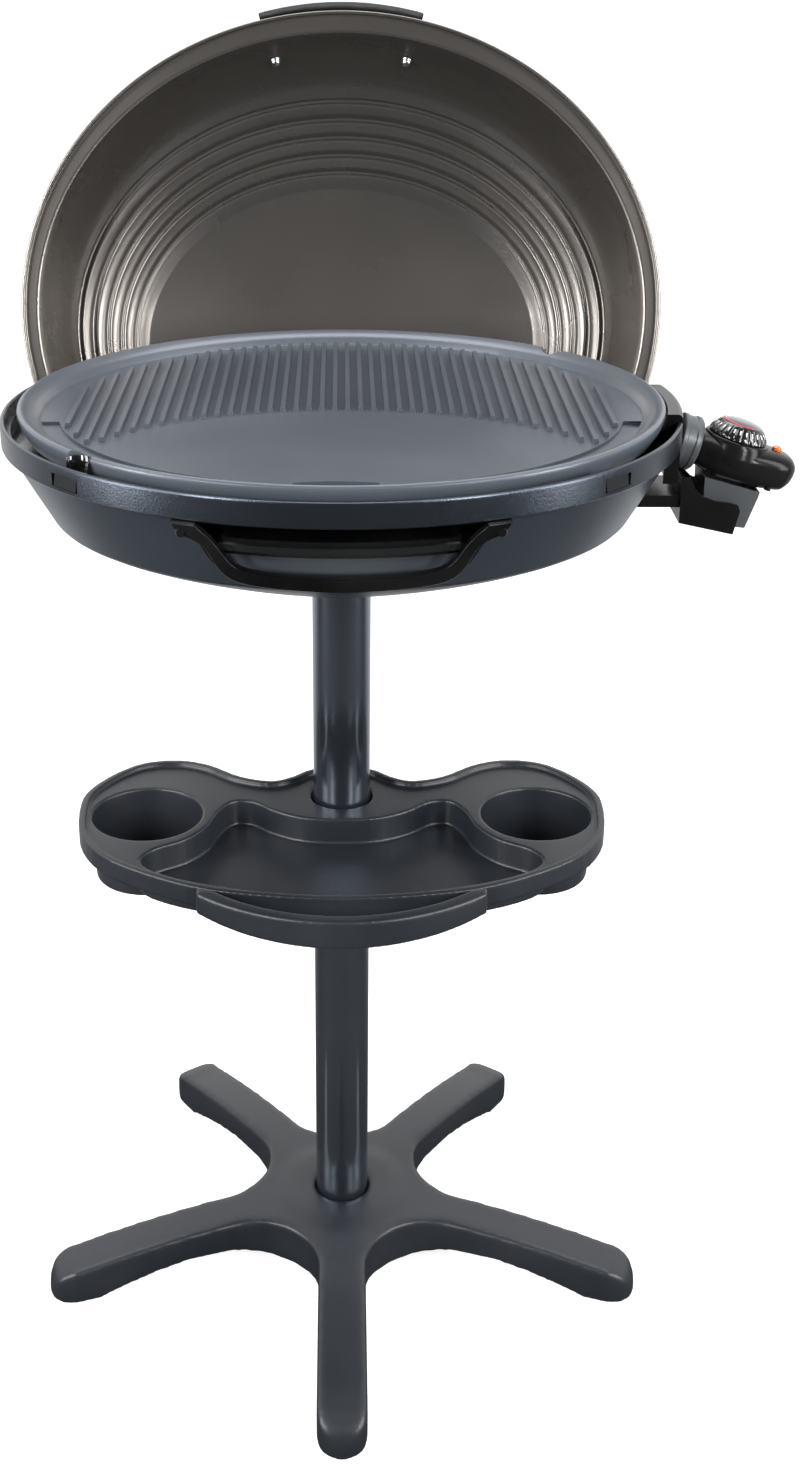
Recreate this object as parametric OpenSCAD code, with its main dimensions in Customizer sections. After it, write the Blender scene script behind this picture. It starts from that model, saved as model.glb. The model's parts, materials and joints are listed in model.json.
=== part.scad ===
// Pedestal electric grill: star base, two-part pole with a storage tray, oval bowl with a
// lift-off ribbed grill plate, plug-in thermostat, slide-out drip tray and a lift-off lid that
// parks upright behind the bowl as a wind shield.
// Origin: on the floor under the pole axis. +Z up, -Y is the front, +X is the thermostat side.

/* [Base] */
// Distance from the pole axis to the centre of a leg's round end
leg_reach = 269; // [220:1:300]
// Width of a leg
leg_w = 44; // [36:1:52]
// Radius of the fillet between two neighbouring legs
leg_fillet = 60; // [30:1:70]
// Number of legs
leg_count = 5; // [5:1:6]
// Height of a leg's top where it leaves the hub
leg_top = 62; // [54:1:70]
// Wall of the moulded base
base_wall = 3.5; // [2.5:0.5:5]
// Height of the collar round the pole above the floor
collar_top = 76; // [70:1:90]
// Height of the foot pads
pad_h = 6; // [4:0.5:8]

/* [Pole] */
// Outer diameter of both pole tubes
tube_d = 50; // [44:1:54]
// Wall of the tubes
tube_wall = 1.5; // [1:0.1:2.5]
// Length of the lower tube
lower_len = 439; // [400:1:460]
// Length of the upper tube
upper_len = 301; // [290:1:330]
// Thickness of the coupler's flange that carries the storage tray
flange_t = 6; // [4:0.5:8]

/* [Storage tray] */
// Distance from the pole axis to each cup's axis
cup_x = 169.5; // [166:0.5:175]
// Distance of the cups' axes in front of the pole axis
cup_y = 36; // [32:1:38]
// Inner diameter of a cup at its rim
cup_d = 96; // [88:1:98]
// Depth of a cup
cup_depth = 53; // [40:1:58]
// Depth of the front well below the tray's deck
well_depth = 24; // [12:1:30]
// Height of the tray's outer skirt
tray_skirt = 18; // [12:1:24]
// Wall of the tray
tray_wall = 2.5; // [2:0.1:4]
// Height of the lip round the tray's deck
tray_lip = 4; // [2:0.5:8]

/* [Bowl] */
// Overall width of the bowl's rim
bowl_w = 550; // [520:2:580]
// Overall depth of the bowl's rim, front to back
bowl_d = 505; // [480:2:530]
// Height of the bowl from its floor to the top of its rim
bowl_h = 138; // [134:1:142]
// Wall of the bowl
bowl_wall = 3; // [2:0.5:4]
// Height of the rim ring's outer band
band_h = 20; // [16:1:24]
// Radial thickness of the rim ring
ring_t = 4; // [3:0.5:6]
// Width of the gap in the rim for the thermostat
gap_w = 96; // [84:1:110]

/* [Carry handles] */
// Height of a handle's grip bar
grip_h = 11; // [9:0.5:14]
// Width of a handle's side limbs
limb_w = 12; // [9:0.5:16]
// Depth of the finger recess behind a handle
finger_depth = 18; // [14:1:22]

/* [Grill plate] */
// Gap between the bowl's rim and the plate's, at each side
side_gap = 14; // [10:1:25]
// Gap between the bowl's rim and the plate's, at the front and the rear
end_gap = 8; // [6.5:0.5:17.5]
// Height of the plate's rim above the bowl's rim
plate_rise = 9; // [6:1:14]
// Thickness of the cooking floor
plate_t = 6; // [5:0.5:8]
// Height of the plate's rim above the cooking floor
plate_rim = 11; // [9:0.5:16]
// Number of raised ribs
rib_count = 42; // [30:2:44]
// Pitch of the ribs
rib_pitch = 10.5; // [9:0.1:10.5]
// Width of a rib
rib_w = 4.6; // [3:0.1:6]
// Height of a rib
rib_h = 4; // [2:0.5:6]
// Depth of the grease channel below the cooking floor
channel_depth = 2.5; // [1:0.5:3.5]

/* [Heater] */
// Diameter of the tubular heating element
element_d = 8; // [6.5:0.5:10]
// Half-width of the element's loop
element_r = 178; // [150:1:190]
// Distance between the two contact pins
pin_gap = 26; // [22:1:28]
// Diameter of a contact pin
pin_d = 5; // [4:0.5:6]

/* [Thermostat] */
// Angle at which the plug droops below level
droop = 16; // [0:1:20]
// Diameter of the plug collar
collar_d = 45; // [42:1:48]
// Length of the plug collar
collar_len = 17; // [14:1:20]
// Length of the housing beyond the collar
housing_len = 86; // [80:1:95]
// Width of the housing
housing_w = 56; // [52:1:62]
// Height of the housing
housing_h = 33; // [30:1:38]
// Wall of the housing
housing_wall = 2.2; // [1.6:0.1:3]
// Diameter of the dial
dial_d = 49; // [40:1:50]
// Height of the dial
dial_h = 14; // [10:0.5:16]
// Diameter of the temperature probe
probe_d = 6; // [5:0.5:7]
// Length of the temperature probe beyond the collar
probe_len = 36; // [30:1:40]

/* [Drip tray] */
// Width of the drip tray
drip_w = 168; // [150:1:170]
// Length of the drip tray, front to back
drip_len = 150; // [120:1:155]
// Height of the drip tray
drip_h = 14; // [10:1:20]

/* [Lid] */
// Overall width of the lid's flange
lid_w = 602; // [590:1:620]
// Distance from the lid's centre to the edge of its flange at the handle side
lid_front = 282; // [276:1:290]
// Distance from the lid's centre to the edge of its flange at the far side
lid_rear = 260; // [256:1:266]
// Width of the flange
lid_flange = 16; // [14:1:18]
// Depth of the lid's dome
lid_depth = 108; // [96:1:120]
// Sheet thickness of the lid
lid_t = 1.5; // [1:0.1:2.5]
// Number of ring ribs in the lid
ring_count = 5; // [3:1:5]
// Height of each ring rib
ring_h = 3; // [1.5:0.5:4]
// Angle that the parked lid leans back
lid_lean = 13.5; // [10:0.5:16]
// Distance between the two screws of the lid's handle
lid_screw_gap = 124; // [100:1:140]

/* [Clearances] */
// Gap between pieces that lift or slide apart
seat_gap = 0.3; // [0.2:0.05:0.6]
// Radial running clearance of shafts, pins and the probe
run_gap = 0.08; // [0.05:0.01:0.1]

/* [Hidden] */
$fn = 96;
FINE = 180;
EPS = 0.01;

PLASTIC = "#3b4149";
BLACK = "#17181a";
STEEL = "#b9bcc0";
SHEET = "#50565e";
TAUPE = "#7d7670";

// ---- heights, from the floor up ----
tube_foot = pad_h + 8;
lower_top = tube_foot + lower_len;
flange_top = lower_top + flange_t;
tube_top = flange_top + upper_len;
bore_d = tube_d + 2 * run_gap;
tube_id = tube_d - 2 * tube_wall;

boss_h = 31.5;
deck_z = flange_top + boss_h + tray_wall;
lip_z = deck_z + tray_lip;
skirt_z = lip_z - tray_skirt;

socket_depth = 51;
floor_z = tube_top + seat_gap - socket_depth;
rim_z = floor_z + bowl_h;
band_z = rim_z - band_h;
plate_top = rim_z + plate_rise;
cook_z = plate_top - plate_rim;
plate_under = cook_z - plate_t;

plate_w = bowl_w - 2 * side_gap;
plate_d = bowl_d - 2 * end_gap;
bowl_ratio = bowl_d / bowl_w;
plate_ratio = plate_d / plate_w;

// ---------------------------------------------------------------- helpers
// Turns a profile of [half width, height] into an oval, a touch shallower at the rear.
module turned_oval(ratio) {
    scale([1, ratio, 1]) rotate(180) rotate_extrude(angle = 180, $fn = FINE) children();
    scale([1, ratio - 0.003, 1]) rotate_extrude(angle = 180, $fn = FINE) children();
}

// One point of a closed Catmull-Rom curve through pts, t from 0 to the number of points.
function wrap(pts, i) = pts[(i + 2 * len(pts)) % len(pts)];
function curve_at(pts, t) =
    let (
        i = floor(t),
        u = t - i,
        a = wrap(pts, i - 1),
        b = wrap(pts, i),
        c = wrap(pts, i + 1),
        d = wrap(pts, i + 2)
    )
    0.5 * (2 * b + (c - a) * u + (2 * a - 5 * b + 4 * c - d) * u * u
        + (3 * b - a - 3 * c + d) * u * u * u);
function closed_curve(pts, steps) =
    [for (k = [0 : len(pts) * steps - 1]) curve_at(pts, k / steps)];

// Moves a closed, counter-clockwise outline inwards by d along its own normals.
function unit(v) = v / norm(v);
function inset(pts, d) = [
    for (i = [0 : len(pts) - 1])
        let (t = unit(wrap(pts, i + 1) - wrap(pts, i - 1)))
        pts[i] + d * [-t[1], t[0]]
];

// Mirrors a half outline listed from the rear centre, round the right side, to the front.
function mirrored(half) = concat(
    half,
    [for (i = [len(half) - 2 : -1 : 1]) [-half[i][0], half[i][1]]]
);
// The listed half runs clockwise, so the outline is reversed to run counter-clockwise.
function flipped(pts) = [for (i = [len(pts) - 1 : -1 : 0]) pts[i]];

module both_sides() {
    children();
    mirror([1, 0, 0]) children();
}

module front_and_back() {
    children();
    mirror([0, 1, 0]) children();
}

// A pan-head screw pointing down: head on top at the origin, shank below.
module screw(d, len) {
    cylinder(d1 = d * 2, d2 = d * 1.5, h = d * 0.55);
    translate([0, 0, -len]) cylinder(d = d, h = len + EPS);
}

// ---------------------------------------------------------------- base
leg_angles = [for (i = [0 : leg_count - 1]) -90 + i * 360 / leg_count];
leg_end_r = leg_w / 2;
leg_tip = leg_reach + leg_end_r;
leg_drop = 18;
hub_r = 38;
socket_floor = 4;
pad_r = leg_end_r - 8;
pad_x = leg_reach - 7;
peg_d = 9;
peg_len = 8;
fillet_gap = 0.1;

// Plan of the star with legs of half-width w, filleted between neighbours.
module star_plan(w, fillet) {
    half = 180 / leg_count;
    away = (w + fillet) / sin(half);
    difference() {
        union() {
            polygon([
                for (a = leg_angles, s = [-1, 1])
                    [cos(a), sin(a)] * away * cos(half) + s * w * [-sin(a), cos(a)]
            ]);
            for (a = leg_angles) rotate(a) {
                translate([0, -w]) square([leg_reach, 2 * w]);
                translate([leg_reach, 0]) circle(w);
            }
        }
        for (a = leg_angles) rotate(a + half) translate([away, 0]) circle(fillet - fillet_gap);
    }
}

// Side outline of the star as a revolve: domed legs that turn down at their tips.
module star_side(g) {
    r_bend = leg_reach - 12;
    rotate_extrude($fn = FINE) polygon(concat(
        [[0, pad_h - EPS], [0, leg_top + 4 - g], [hub_r + 12, leg_top + 3 - g]],
        [for (i = [0 : 8]) let (u = i / 8)
            [hub_r + 30 + u * (r_bend - hub_r - 30), leg_top - g - leg_drop * u * u]],
        [for (a = [15 : 15 : 75]) let (h = leg_top - leg_drop - pad_h)
            [r_bend + (leg_tip - r_bend - g) * sin(a), pad_h + (h - g) * pow(cos(a), 0.6)]],
        [[leg_tip - g, pad_h + 6], [leg_tip - g, pad_h - EPS]]
    ));
}

// The arch under the legs, as the space that the heel and toe leave.
module arch() {
    rotate_extrude($fn = FINE) polygon(concat(
        [[0, -1], [0, pad_h], [hub_r + 4, pad_h]],
        [for (i = [0 : 8]) let (u = i / 8)
            [hub_r + 4 + u * (leg_reach - 30 - hub_r), pad_h + 20 * sin(u * 180) + 2]],
        [[leg_reach - 26, pad_h], [leg_reach - 26, -1]]
    ));
}

module base_star() {
    color(PLASTIC) difference() {
        union() {
            intersection() {
                linear_extrude(leg_top + 20) star_plan(leg_w / 2, leg_fillet);
                star_side(0);
            }
            cylinder(r1 = hub_r, r2 = hub_r - 4, h = collar_top);
        }
        arch();
        intersection() {
            linear_extrude(leg_top + 20) difference() {
                star_plan(leg_w / 2 - base_wall, leg_fillet + base_wall);
                circle(hub_r);
            }
            star_side(base_wall);
        }
        translate([0, 0, tube_foot]) cylinder(d = bore_d, h = collar_top);
        translate([0, 0, -1]) cylinder(d = 9, h = collar_top);
        translate([0, 0, pad_h - 1]) cylinder(d = 26, h = socket_floor + 1.02);
    }
    color(PLASTIC) intersection() {
        star_side(base_wall / 2);
        for (a = leg_angles) rotate(a) translate([pad_x, 0, pad_h]) difference() {
            cylinder(r = pad_r, h = leg_top);
            translate([0, 0, -1]) cylinder(d = peg_d, h = peg_len + 1.5);
        }
    }
}

module foot_pads() {
    color(BLACK) for (a = leg_angles) rotate(a) translate([pad_x, 0, 0]) {
        cylinder(r1 = pad_r - 2, r2 = pad_r, h = pad_h);
        translate([0, 0, pad_h - EPS]) cylinder(d = peg_d, h = peg_len);
    }
    color(BLACK) difference() {
        cylinder(r1 = hub_r - 6, r2 = hub_r - 4, h = pad_h);
        translate([0, 0, -1]) cylinder(d = 28, h = pad_h + 2);
    }
}

screw_len = 30;
module base_screw() {
    color(STEEL) translate([0, 0, pad_h + socket_floor]) {
        mirror([0, 0, 1]) cylinder(d1 = 22, d2 = 20, h = 1.6);
        mirror([0, 0, 1]) translate([0, 0, 1.6]) cylinder(d = 13, h = 2.2, $fn = 6);
        cylinder(d = 8, h = screw_len);
    }
}

module tube_plug() {
    color(BLACK) translate([0, 0, tube_foot]) difference() {
        cylinder(d = tube_id - 0.2, h = 24);
        translate([0, 0, -1]) cylinder(d = 8.2, h = 30);
        for (a = [0 : 60 : 300]) rotate(a) translate([14, 0, 3]) cylinder(d = 9, h = 30);
    }
}

// ---------------------------------------------------------------- pole
module tube(len) {
    difference() {
        cylinder(d = tube_d, h = len);
        translate([0, 0, -1]) cylinder(d = tube_id, h = len + 2);
    }
}

module lower_tube() {
    color(PLASTIC) translate([0, 0, tube_foot]) tube(lower_len);
}

module upper_tube() {
    color(PLASTIC) translate([0, 0, flange_top]) tube(upper_len);
}

spigot_len = 45;
module tube_coupler() {
    color(BLACK) difference() {
        union() {
            translate([0, 0, lower_top]) cylinder(d = tube_d + 22, h = flange_t);
            translate([0, 0, lower_top - spigot_len]) {
                cylinder(d = tube_id - 2 * run_gap, h = flange_t + 2 * spigot_len);
            }
            for (a = [0 : 45 : 315]) rotate(a) translate([0, -1.5, lower_top - 8]) {
                cube([tube_d / 2 + 9, 3, 8]);
            }
        }
        translate([0, 0, lower_top - spigot_len - 1]) {
            cylinder(d = tube_id - 8, h = 2 * spigot_len + flange_t + 2);
        }
        translate([0, 0, lower_top - 9]) difference() {
            cylinder(d = tube_d + 2 * run_gap, h = 9);
            cylinder(d = tube_id - 2 * run_gap, h = 9);
        }
    }
}

// ---------------------------------------------------------------- storage tray
lobe_r = cup_d / 2 + 11;
// Right half of the tray's outline, from the rear centre round to the front centre.
tray_half = [
    [0, 50], [28, 43], [45, 28], [64, 20], [92, 29], [121, 52], [150, 62],
    [cup_x + 12, 56], [cup_x + 37, 33], [cup_x + lobe_r - 3, -1], [cup_x + lobe_r, -35],
    [cup_x + 51, -83], [191, -126], [125, -167], [62, -183], [0, -188]
];
// Right half of the front well's outline, from its rear wall round to its front edge.
well_half = [
    [0, -47], [33, -44], [58, -31], [78, -14], [96, -13], [108, -32], [116, -59], [133, -83],
    [158, -100], [167, -118], [156, -135], [119, -154], [60, -170], [0, -175]
];
tray_pts = flipped(closed_curve(mirrored(tray_half), 4));
well_pts = flipped(closed_curve(mirrored(well_half), 4));
well_floor = deck_z - well_depth;
cup_floor = deck_z - cup_depth;
cup_taper = 8;

module plate_of(pts, z0, z1) {
    translate([0, 0, z0]) linear_extrude(z1 - z0) polygon(pts);
}

module cup_cone(g) {
    translate([0, 0, cup_floor - g]) {
        cylinder(d1 = cup_d - cup_taper + 2 * g, d2 = cup_d + 2 * g, h = cup_depth + g);
    }
}

module storage_tray() {
    color(PLASTIC) difference() {
        union() {
            difference() {
                plate_of(tray_pts, skirt_z, lip_z);
                plate_of(inset(tray_pts, 6), deck_z, lip_z + 1);
                plate_of(inset(tray_pts, tray_wall), skirt_z - 1, deck_z - tray_wall);
            }
            plate_of(inset(well_pts, -tray_wall), well_floor - tray_wall, deck_z - EPS);
            both_sides() translate([cup_x, -cup_y, 0]) cup_cone(tray_wall);
            translate([0, 0, flange_top]) cylinder(d = tube_d + 14, h = boss_h + tray_wall);
            for (a = [20 : 70 : 160]) rotate(a) translate([tube_d / 2 + 2, -1.5, skirt_z + 2]) {
                cube([19, 3, deck_z - skirt_z - 3]);
            }
        }
        plate_of(well_pts, well_floor, lip_z + 1);
        both_sides() translate([cup_x, -cup_y, 0]) {
            cup_cone(0);
            translate([0, 0, deck_z - EPS]) cylinder(d = cup_d, h = 20);
        }
        translate([0, 0, flange_top - 1]) cylinder(d = bore_d, h = 80);
        translate([0, 0, deck_z - 4]) cylinder(d = tube_d + 5, h = 20);
    }
}

// The rail is a bow in front of the skirt, between two arcs: [radius, foremost y].
rail_outer = [174, -225];
rail_inner = [157, -213];
rail_half = 117;
rail_h = 17;
module rail_disc(arc, z, h) {
    translate([0, arc[0] + arc[1], z]) cylinder(r = arc[0], h = h, $fn = FINE);
}

module tray_rail() {
    rail_z = lip_z - rail_h;
    color(SHEET) difference() {
        intersection() {
            rail_disc(rail_outer, rail_z, rail_h);
            translate([-rail_half, rail_outer[1] - 1, rail_z]) {
                cube([2 * rail_half, 90, rail_h]);
            }
        }
        rail_disc(rail_inner, rail_z - 1, rail_h + 2);
        plate_of(inset(tray_pts, -EPS), rail_z - 1, lip_z + 1);
    }
}

// ---------------------------------------------------------------- bowl
bowl_r = bowl_w / 2;
floor_r = 65;
dish_r = 154.5;
dish_rise = 26;
knee_rise = 61.5;
knee_in = 36.5;
knee_r = bowl_r - knee_in;
neck_r = bowl_r - 5;
neck_rise = bowl_h - band_h;

// Outer wall of the bowl as (radius, height) points, moved inwards by g.
function bowl_side(g) = concat(
    [[floor_r, floor_z + g], [(floor_r + dish_r) / 2, floor_z + dish_rise * 0.38 + g]],
    [for (i = [0 : 6]) let (u = i / 6, v = 1 - u)
        [
            v * v * (dish_r - 0.2 * g) + 2 * u * v * (knee_r - 0.7 * g)
                + u * u * (knee_r - 0.9 * g),
            floor_z + v * v * (dish_rise + g) + 2 * u * v * (dish_rise + 30.5 + 0.7 * g)
                + u * u * (knee_rise + 0.45 * g)
        ]],
    [[(knee_r + neck_r) / 2 - 1 - g, floor_z + (knee_rise + neck_rise) / 2 - 2],
     [neck_r - g, floor_z + neck_rise]]
);

// Solid of revolution inside the bowl's wall, moved inwards by g, up to height top.
module bowl_solid(g, top) {
    turned_oval(bowl_ratio) polygon(concat(
        [[0, floor_z + g]],
        bowl_side(g),
        [[neck_r - g, top], [0, top]]
    ));
}

// Half of the handle window, seen from the front: [x, height below the band].
window_pts = [[121, 0], [112, 5], [104, 17], [93, 38], [77, 52]];
function window(g) = concat(
    [for (p = window_pts) [p[0] + g, band_z - p[1] - (p[1] > 40 ? g : 0)]],
    [for (i = [len(window_pts) - 1 : -1 : 0]) let (p = window_pts[i])
        [-p[0] - g, band_z - p[1] - (p[1] > 40 ? g : 0)]]
);

// The window's outline as a prism through the front wall.
module window_prism(g, y_near, y_far) {
    translate([0, -y_near, 0]) rotate([90, 0, 0]) {
        linear_extrude(y_far - y_near) polygon(window(g));
    }
}

pad_y = bowl_d / 2 - 52.5;
pad_z = band_z - 32;
recess_top = band_z - 29;
recess_near = bowl_d / 2 * 0.6;
module finger_recess() {
    intersection() {
        window_prism(bowl_wall, recess_near, bowl_d / 2 + 5);
        difference() {
            bowl_skin(finger_depth);
            bowl_skin(finger_depth + bowl_wall);
        }
        translate([-bowl_r, -bowl_d, 0]) cube([bowl_w, bowl_d, recess_top]);
    }
    intersection() {
        difference() {
            window_prism(bowl_wall, recess_near, bowl_d / 2 + 5);
            window_prism(0, recess_near - 1, bowl_d / 2 + 6);
        }
        difference() {
            bowl_solid(0, band_z);
            bowl_skin(finger_depth + bowl_wall);
        }
        translate([-bowl_r, -bowl_d, 0]) cube([bowl_w, bowl_d, recess_top]);
    }
}

// The bowl's outer form with its side shrunk by g but its floor kept.
module bowl_skin(g) {
    turned_oval(bowl_ratio) polygon(concat(
        [[0, floor_z]],
        [for (p = bowl_side(0)) [p[0] - g, p[1]]],
        [[neck_r - g, rim_z], [0, rim_z]]
    ));
}

shell_top = band_z + 8;
post_r = 46;
gap_z = band_z - 33;
module thermostat_gap() {
    translate([bowl_r - 50, -gap_w / 2, gap_z]) cube([80, gap_w, 100]);
}

module bowl_shell() {
    color(PLASTIC) difference() {
        union() {
            difference() {
                bowl_solid(0, shell_top);
                bowl_solid(bowl_wall, shell_top + 1);
                front_and_back() window_prism(0, recess_near, bowl_d / 2 + 5);
            }
            front_and_back() {
                finger_recess();
                handle_lugs();
            }
            intersection() {
                bowl_solid(0.5, band_z);
                union() {
                    both_sides() at_hook_screws() translate([0, 0, 3]) cylinder(d = 13, h = 30);
                    at_guard_screws() translate([0, 0, 2.4]) cylinder(d = 9, h = 20);
                }
            }
        }
        translate([0, 0, floor_z - 1]) cylinder(d = tube_d + 10, h = 20);
        thermostat_gap();
        both_sides() at_hook_screws() cylinder(d = 4.9, h = 60);
        at_guard_screws() cylinder(d = 3.6, h = 30);
        front_and_back() at_handle_screws() cylinder(d = 4.2, h = bowl_d);
        for (a = [45 : 90 : 315]) rotate(a) translate([post_r, 0, floor_z - 5]) {
            cylinder(d = 3.6, h = 20);
        }
    }
}

clip_angle = 42.5;
clip_w = 30;
module at_clips() {
    for (a = [clip_angle, 180 - clip_angle, 180 + clip_angle, -clip_angle]) {
        translate([cos(a) * bowl_r, sin(a) * bowl_d / 2, 0]) {
            rotate(atan2(sin(a) * bowl_r, cos(a) * bowl_d / 2)) children();
        }
    }
}

window_z = band_z + 3.5;
window_h = 10;
module rim_ring() {
    color(PLASTIC) difference() {
        turned_oval(bowl_ratio) polygon([
            [bowl_r - ring_t, band_z], [bowl_r - 1, band_z], [bowl_r, band_z + 1],
            [bowl_r, rim_z - 2], [bowl_r - 0.7, rim_z - 0.6], [bowl_r - 2, rim_z],
            [bowl_r - ring_t + 1, rim_z], [bowl_r - ring_t, rim_z - 1],
            [bowl_r - ring_t, shell_top + 3.2], [neck_r - bowl_wall, shell_top + 3.2],
            [neck_r - bowl_wall, shell_top + 0.2], [bowl_r - ring_t, shell_top + 0.2]
        ]);
        thermostat_gap();
        at_clips() translate([-9, -clip_w / 2, window_z]) cube([20, clip_w, window_h]);
    }
}

module snap_clips() {
    color(BLACK) at_clips() rotate([90, 0, 0]) translate([0, 0, 2 - clip_w / 2]) {
        linear_extrude(clip_w - 4) polygon([
            [-7.5, shell_top + 0.2], [-3.2, shell_top + 0.2], [-3.2, window_z + 0.3],
            [-0.4, window_z + 0.3], [-1.8, window_z + window_h - 0.4],
            [-7.5, window_z + window_h - 0.4]
        ]);
    }
}

socket_t = 3.5;
module pole_socket() {
    color(BLACK) difference() {
        union() {
            translate([0, 0, floor_z + bowl_wall]) cylinder(r = post_r + 10, h = 4);
            translate([0, 0, floor_z]) cylinder(d = tube_d + 9, h = socket_depth + socket_t);
            for (a = [0 : 90 : 270]) rotate(a) translate([0, -1.5, floor_z + bowl_wall]) {
                cube([post_r + 6, 3, 30]);
            }
        }
        translate([0, 0, floor_z - 1]) cylinder(d = bore_d, h = socket_depth + 1);
        for (a = [45 : 90 : 315]) rotate(a) translate([post_r, 0, floor_z - 5]) {
            cylinder(d = 3.6, h = 20);
        }
    }
}

module socket_screws() {
    color(STEEL) for (a = [45 : 90 : 315]) rotate(a) translate([post_r, 0, floor_z]) {
        mirror([0, 0, 1]) screw(3.5, 8);
    }
}

// A carry handle: a U-shaped black moulding that fills the window's edge.
bar_out = 12;
bar_in = 6;
screw_x = 113;
screw_z = band_z - 8;
// Opening of the handle, inside its limbs and above its grip bar.
grip_pts = [
    for (i = [0 : len(window_pts) - 1])
        let (p = window_pts[i])
        [p[0] - limb_w, band_z - min(p[1], window_pts[4][1] - grip_h) - (i == 0 ? -9 : 0)]
];

module at_handle_screws() {
    both_sides() translate([screw_x, 0, screw_z]) rotate([90, 0, 0]) children();
}

module handle_u() {
    y_face = bowl_d / 2;
    difference() {
        intersection() {
            window_prism(-seat_gap, recess_near, y_face + 20);
            difference() {
                bowl_skin(-bar_out);
                bowl_skin(bar_in);
            }
        }
        rotate([90, 0, 0]) linear_extrude(y_face + 30) {
            polygon(concat(grip_pts, flipped([for (p = grip_pts) [-p[0], p[1]]])));
        }
        translate([-bowl_r, -bowl_d, band_z - 1]) cube([bowl_w, bowl_d, 50]);
        at_handle_screws() {
            cylinder(d = 4.2, h = y_face + 20);
            translate([0, 0, screw_face]) cylinder(d = 9, h = 30);
        }
    }
}

// Lugs of the bowl behind the handle's upper ends.
module handle_lugs() {
    difference() {
        intersection() {
            both_sides() translate([screw_x - 8, -bowl_d, screw_z - 8]) {
                cube([30, bowl_d, 15]);
            }
            bowl_solid(0, band_z);
        }
        bowl_skin(bar_in + 4);
        intersection() {
            window_prism(0, recess_near, bowl_d / 2 + 5);
            difference() {
                bowl_skin(-2);
                bowl_skin(bar_in + 0.1);
            }
        }
    }
}

module front_handle() {
    color(BLACK) handle_u();
}

module rear_handle() {
    color(BLACK) mirror([0, 1, 0]) handle_u();
}

// Depth of the handle's face in front of the pole axis, at its screws.
screw_face = sqrt(1 - pow(screw_x / (neck_r + bar_out - 5), 2)) * (neck_r + bar_out - 5)
    * bowl_ratio;
module handle_screws() {
    color(STEEL) front_and_back() at_handle_screws() translate([0, 0, screw_face]) {
        screw(4, 24);
    }
}

// ---------------------------------------------------------------- inside the bowl
cradle_z = band_z - 28.3;
cradle_t = 2;
drip_z = cradle_z + seat_gap;
drip_rear = -90;
drip_front = drip_rear - drip_len;
module tray_cradle() {
    color(STEEL) intersection() {
        bowl_solid(bowl_wall, band_z);
        translate([0, 0, cradle_z - cradle_t]) {
            for (y = [drip_rear - 14, drip_rear - 86]) {
                translate([-bowl_r, y, 0]) cube([bowl_w, 12, cradle_t]);
            }
            both_sides() {
                translate([drip_w / 2 - 8, drip_rear - 104, 0]) cube([12, 104, cradle_t]);
                translate([drip_w / 2 + 1, drip_rear - 104, 0]) cube([2, 104, 8]);
            }
        }
    }
}

reflector_z = drip_z + drip_h + 2;
reflector_half = bowl_d / 2 - 67.5;
reflector_flat = bowl_r - 75;
reflector_lip = bowl_r - 17;
reflector_end = bowl_r + 5;
module heat_reflector() {
    color(STEEL) difference() {
        intersection() {
            bowl_solid(bowl_wall, rim_z);
            translate([-bowl_r, -reflector_half, 0]) cube([bowl_w, 2 * reflector_half, 1000]);
            turned_oval(bowl_ratio) polygon([
                [0, reflector_z], [reflector_flat, reflector_z],
                [reflector_lip, reflector_z + 6], [reflector_end, reflector_z + 7],
                [reflector_end, reflector_z + 8], [reflector_lip, reflector_z + 7],
                [reflector_flat, reflector_z + 1], [0, reflector_z + 1]
            ]);
        }
        translate([-drip_w / 2, -bowl_d, reflector_z - 5]) {
            cube([drip_w, bowl_d + drip_rear - 2, 30]);
        }
        translate([arm_in - 2, -gap_w / 2 - 1, gap_z - 5]) cube([120, gap_w + 2, 60]);
    }
}

plate_r = plate_w / 2;
skirt_bottom = plate_under - 2;
support_angles = [38, 142, 218, 322];
module plate_supports() {
    color(STEEL) intersection() {
        bowl_solid(bowl_wall, shell_top);
        turned_oval(bowl_ratio) polygon([
            [plate_r - 17, skirt_bottom - 4], [bowl_r, skirt_bottom - 12],
            [bowl_r, skirt_bottom - seat_gap], [plate_r - 17, skirt_bottom - seat_gap]
        ]);
        for (a = support_angles) rotate(a) translate([plate_r - 81, -14, band_z - 20]) {
            cube([120, 28, 60]);
        }
    }
}

// ---------------------------------------------------------------- grill plate
// Ovals on the cooking floor: where its flat part ends and where the channel ends.
flat_a = plate_r - 33;
flat_b = plate_d / 2 - 37.5;
moat_a = plate_r - 19;
moat_b = plate_d / 2 - 22.7;
moat_start = -38;
rib_rear_a = plate_r - 35;
rib_rear_b = plate_d / 2 - 24.5;

module flat_oval(a, b, z0, z1) {
    turned_oval(b / a) polygon([[0, z0], [a, z0], [a, z1], [0, z1]]);
}

// Front end of the rib at distance x from the middle: an arc that drops towards the sides.
function rib_front(x) =
    max(
        -6 - 150 * (1 - sqrt(max(0, 1 - pow(x / (flat_a - 28), 2)))),
        -flat_b * sqrt(max(0, 1 - pow((x + 4) / flat_a, 2)))
    );
function rib_rear(x) = rib_rear_b * sqrt(max(0, 1 - pow((x + 2) / rib_rear_a, 2)));

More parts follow.
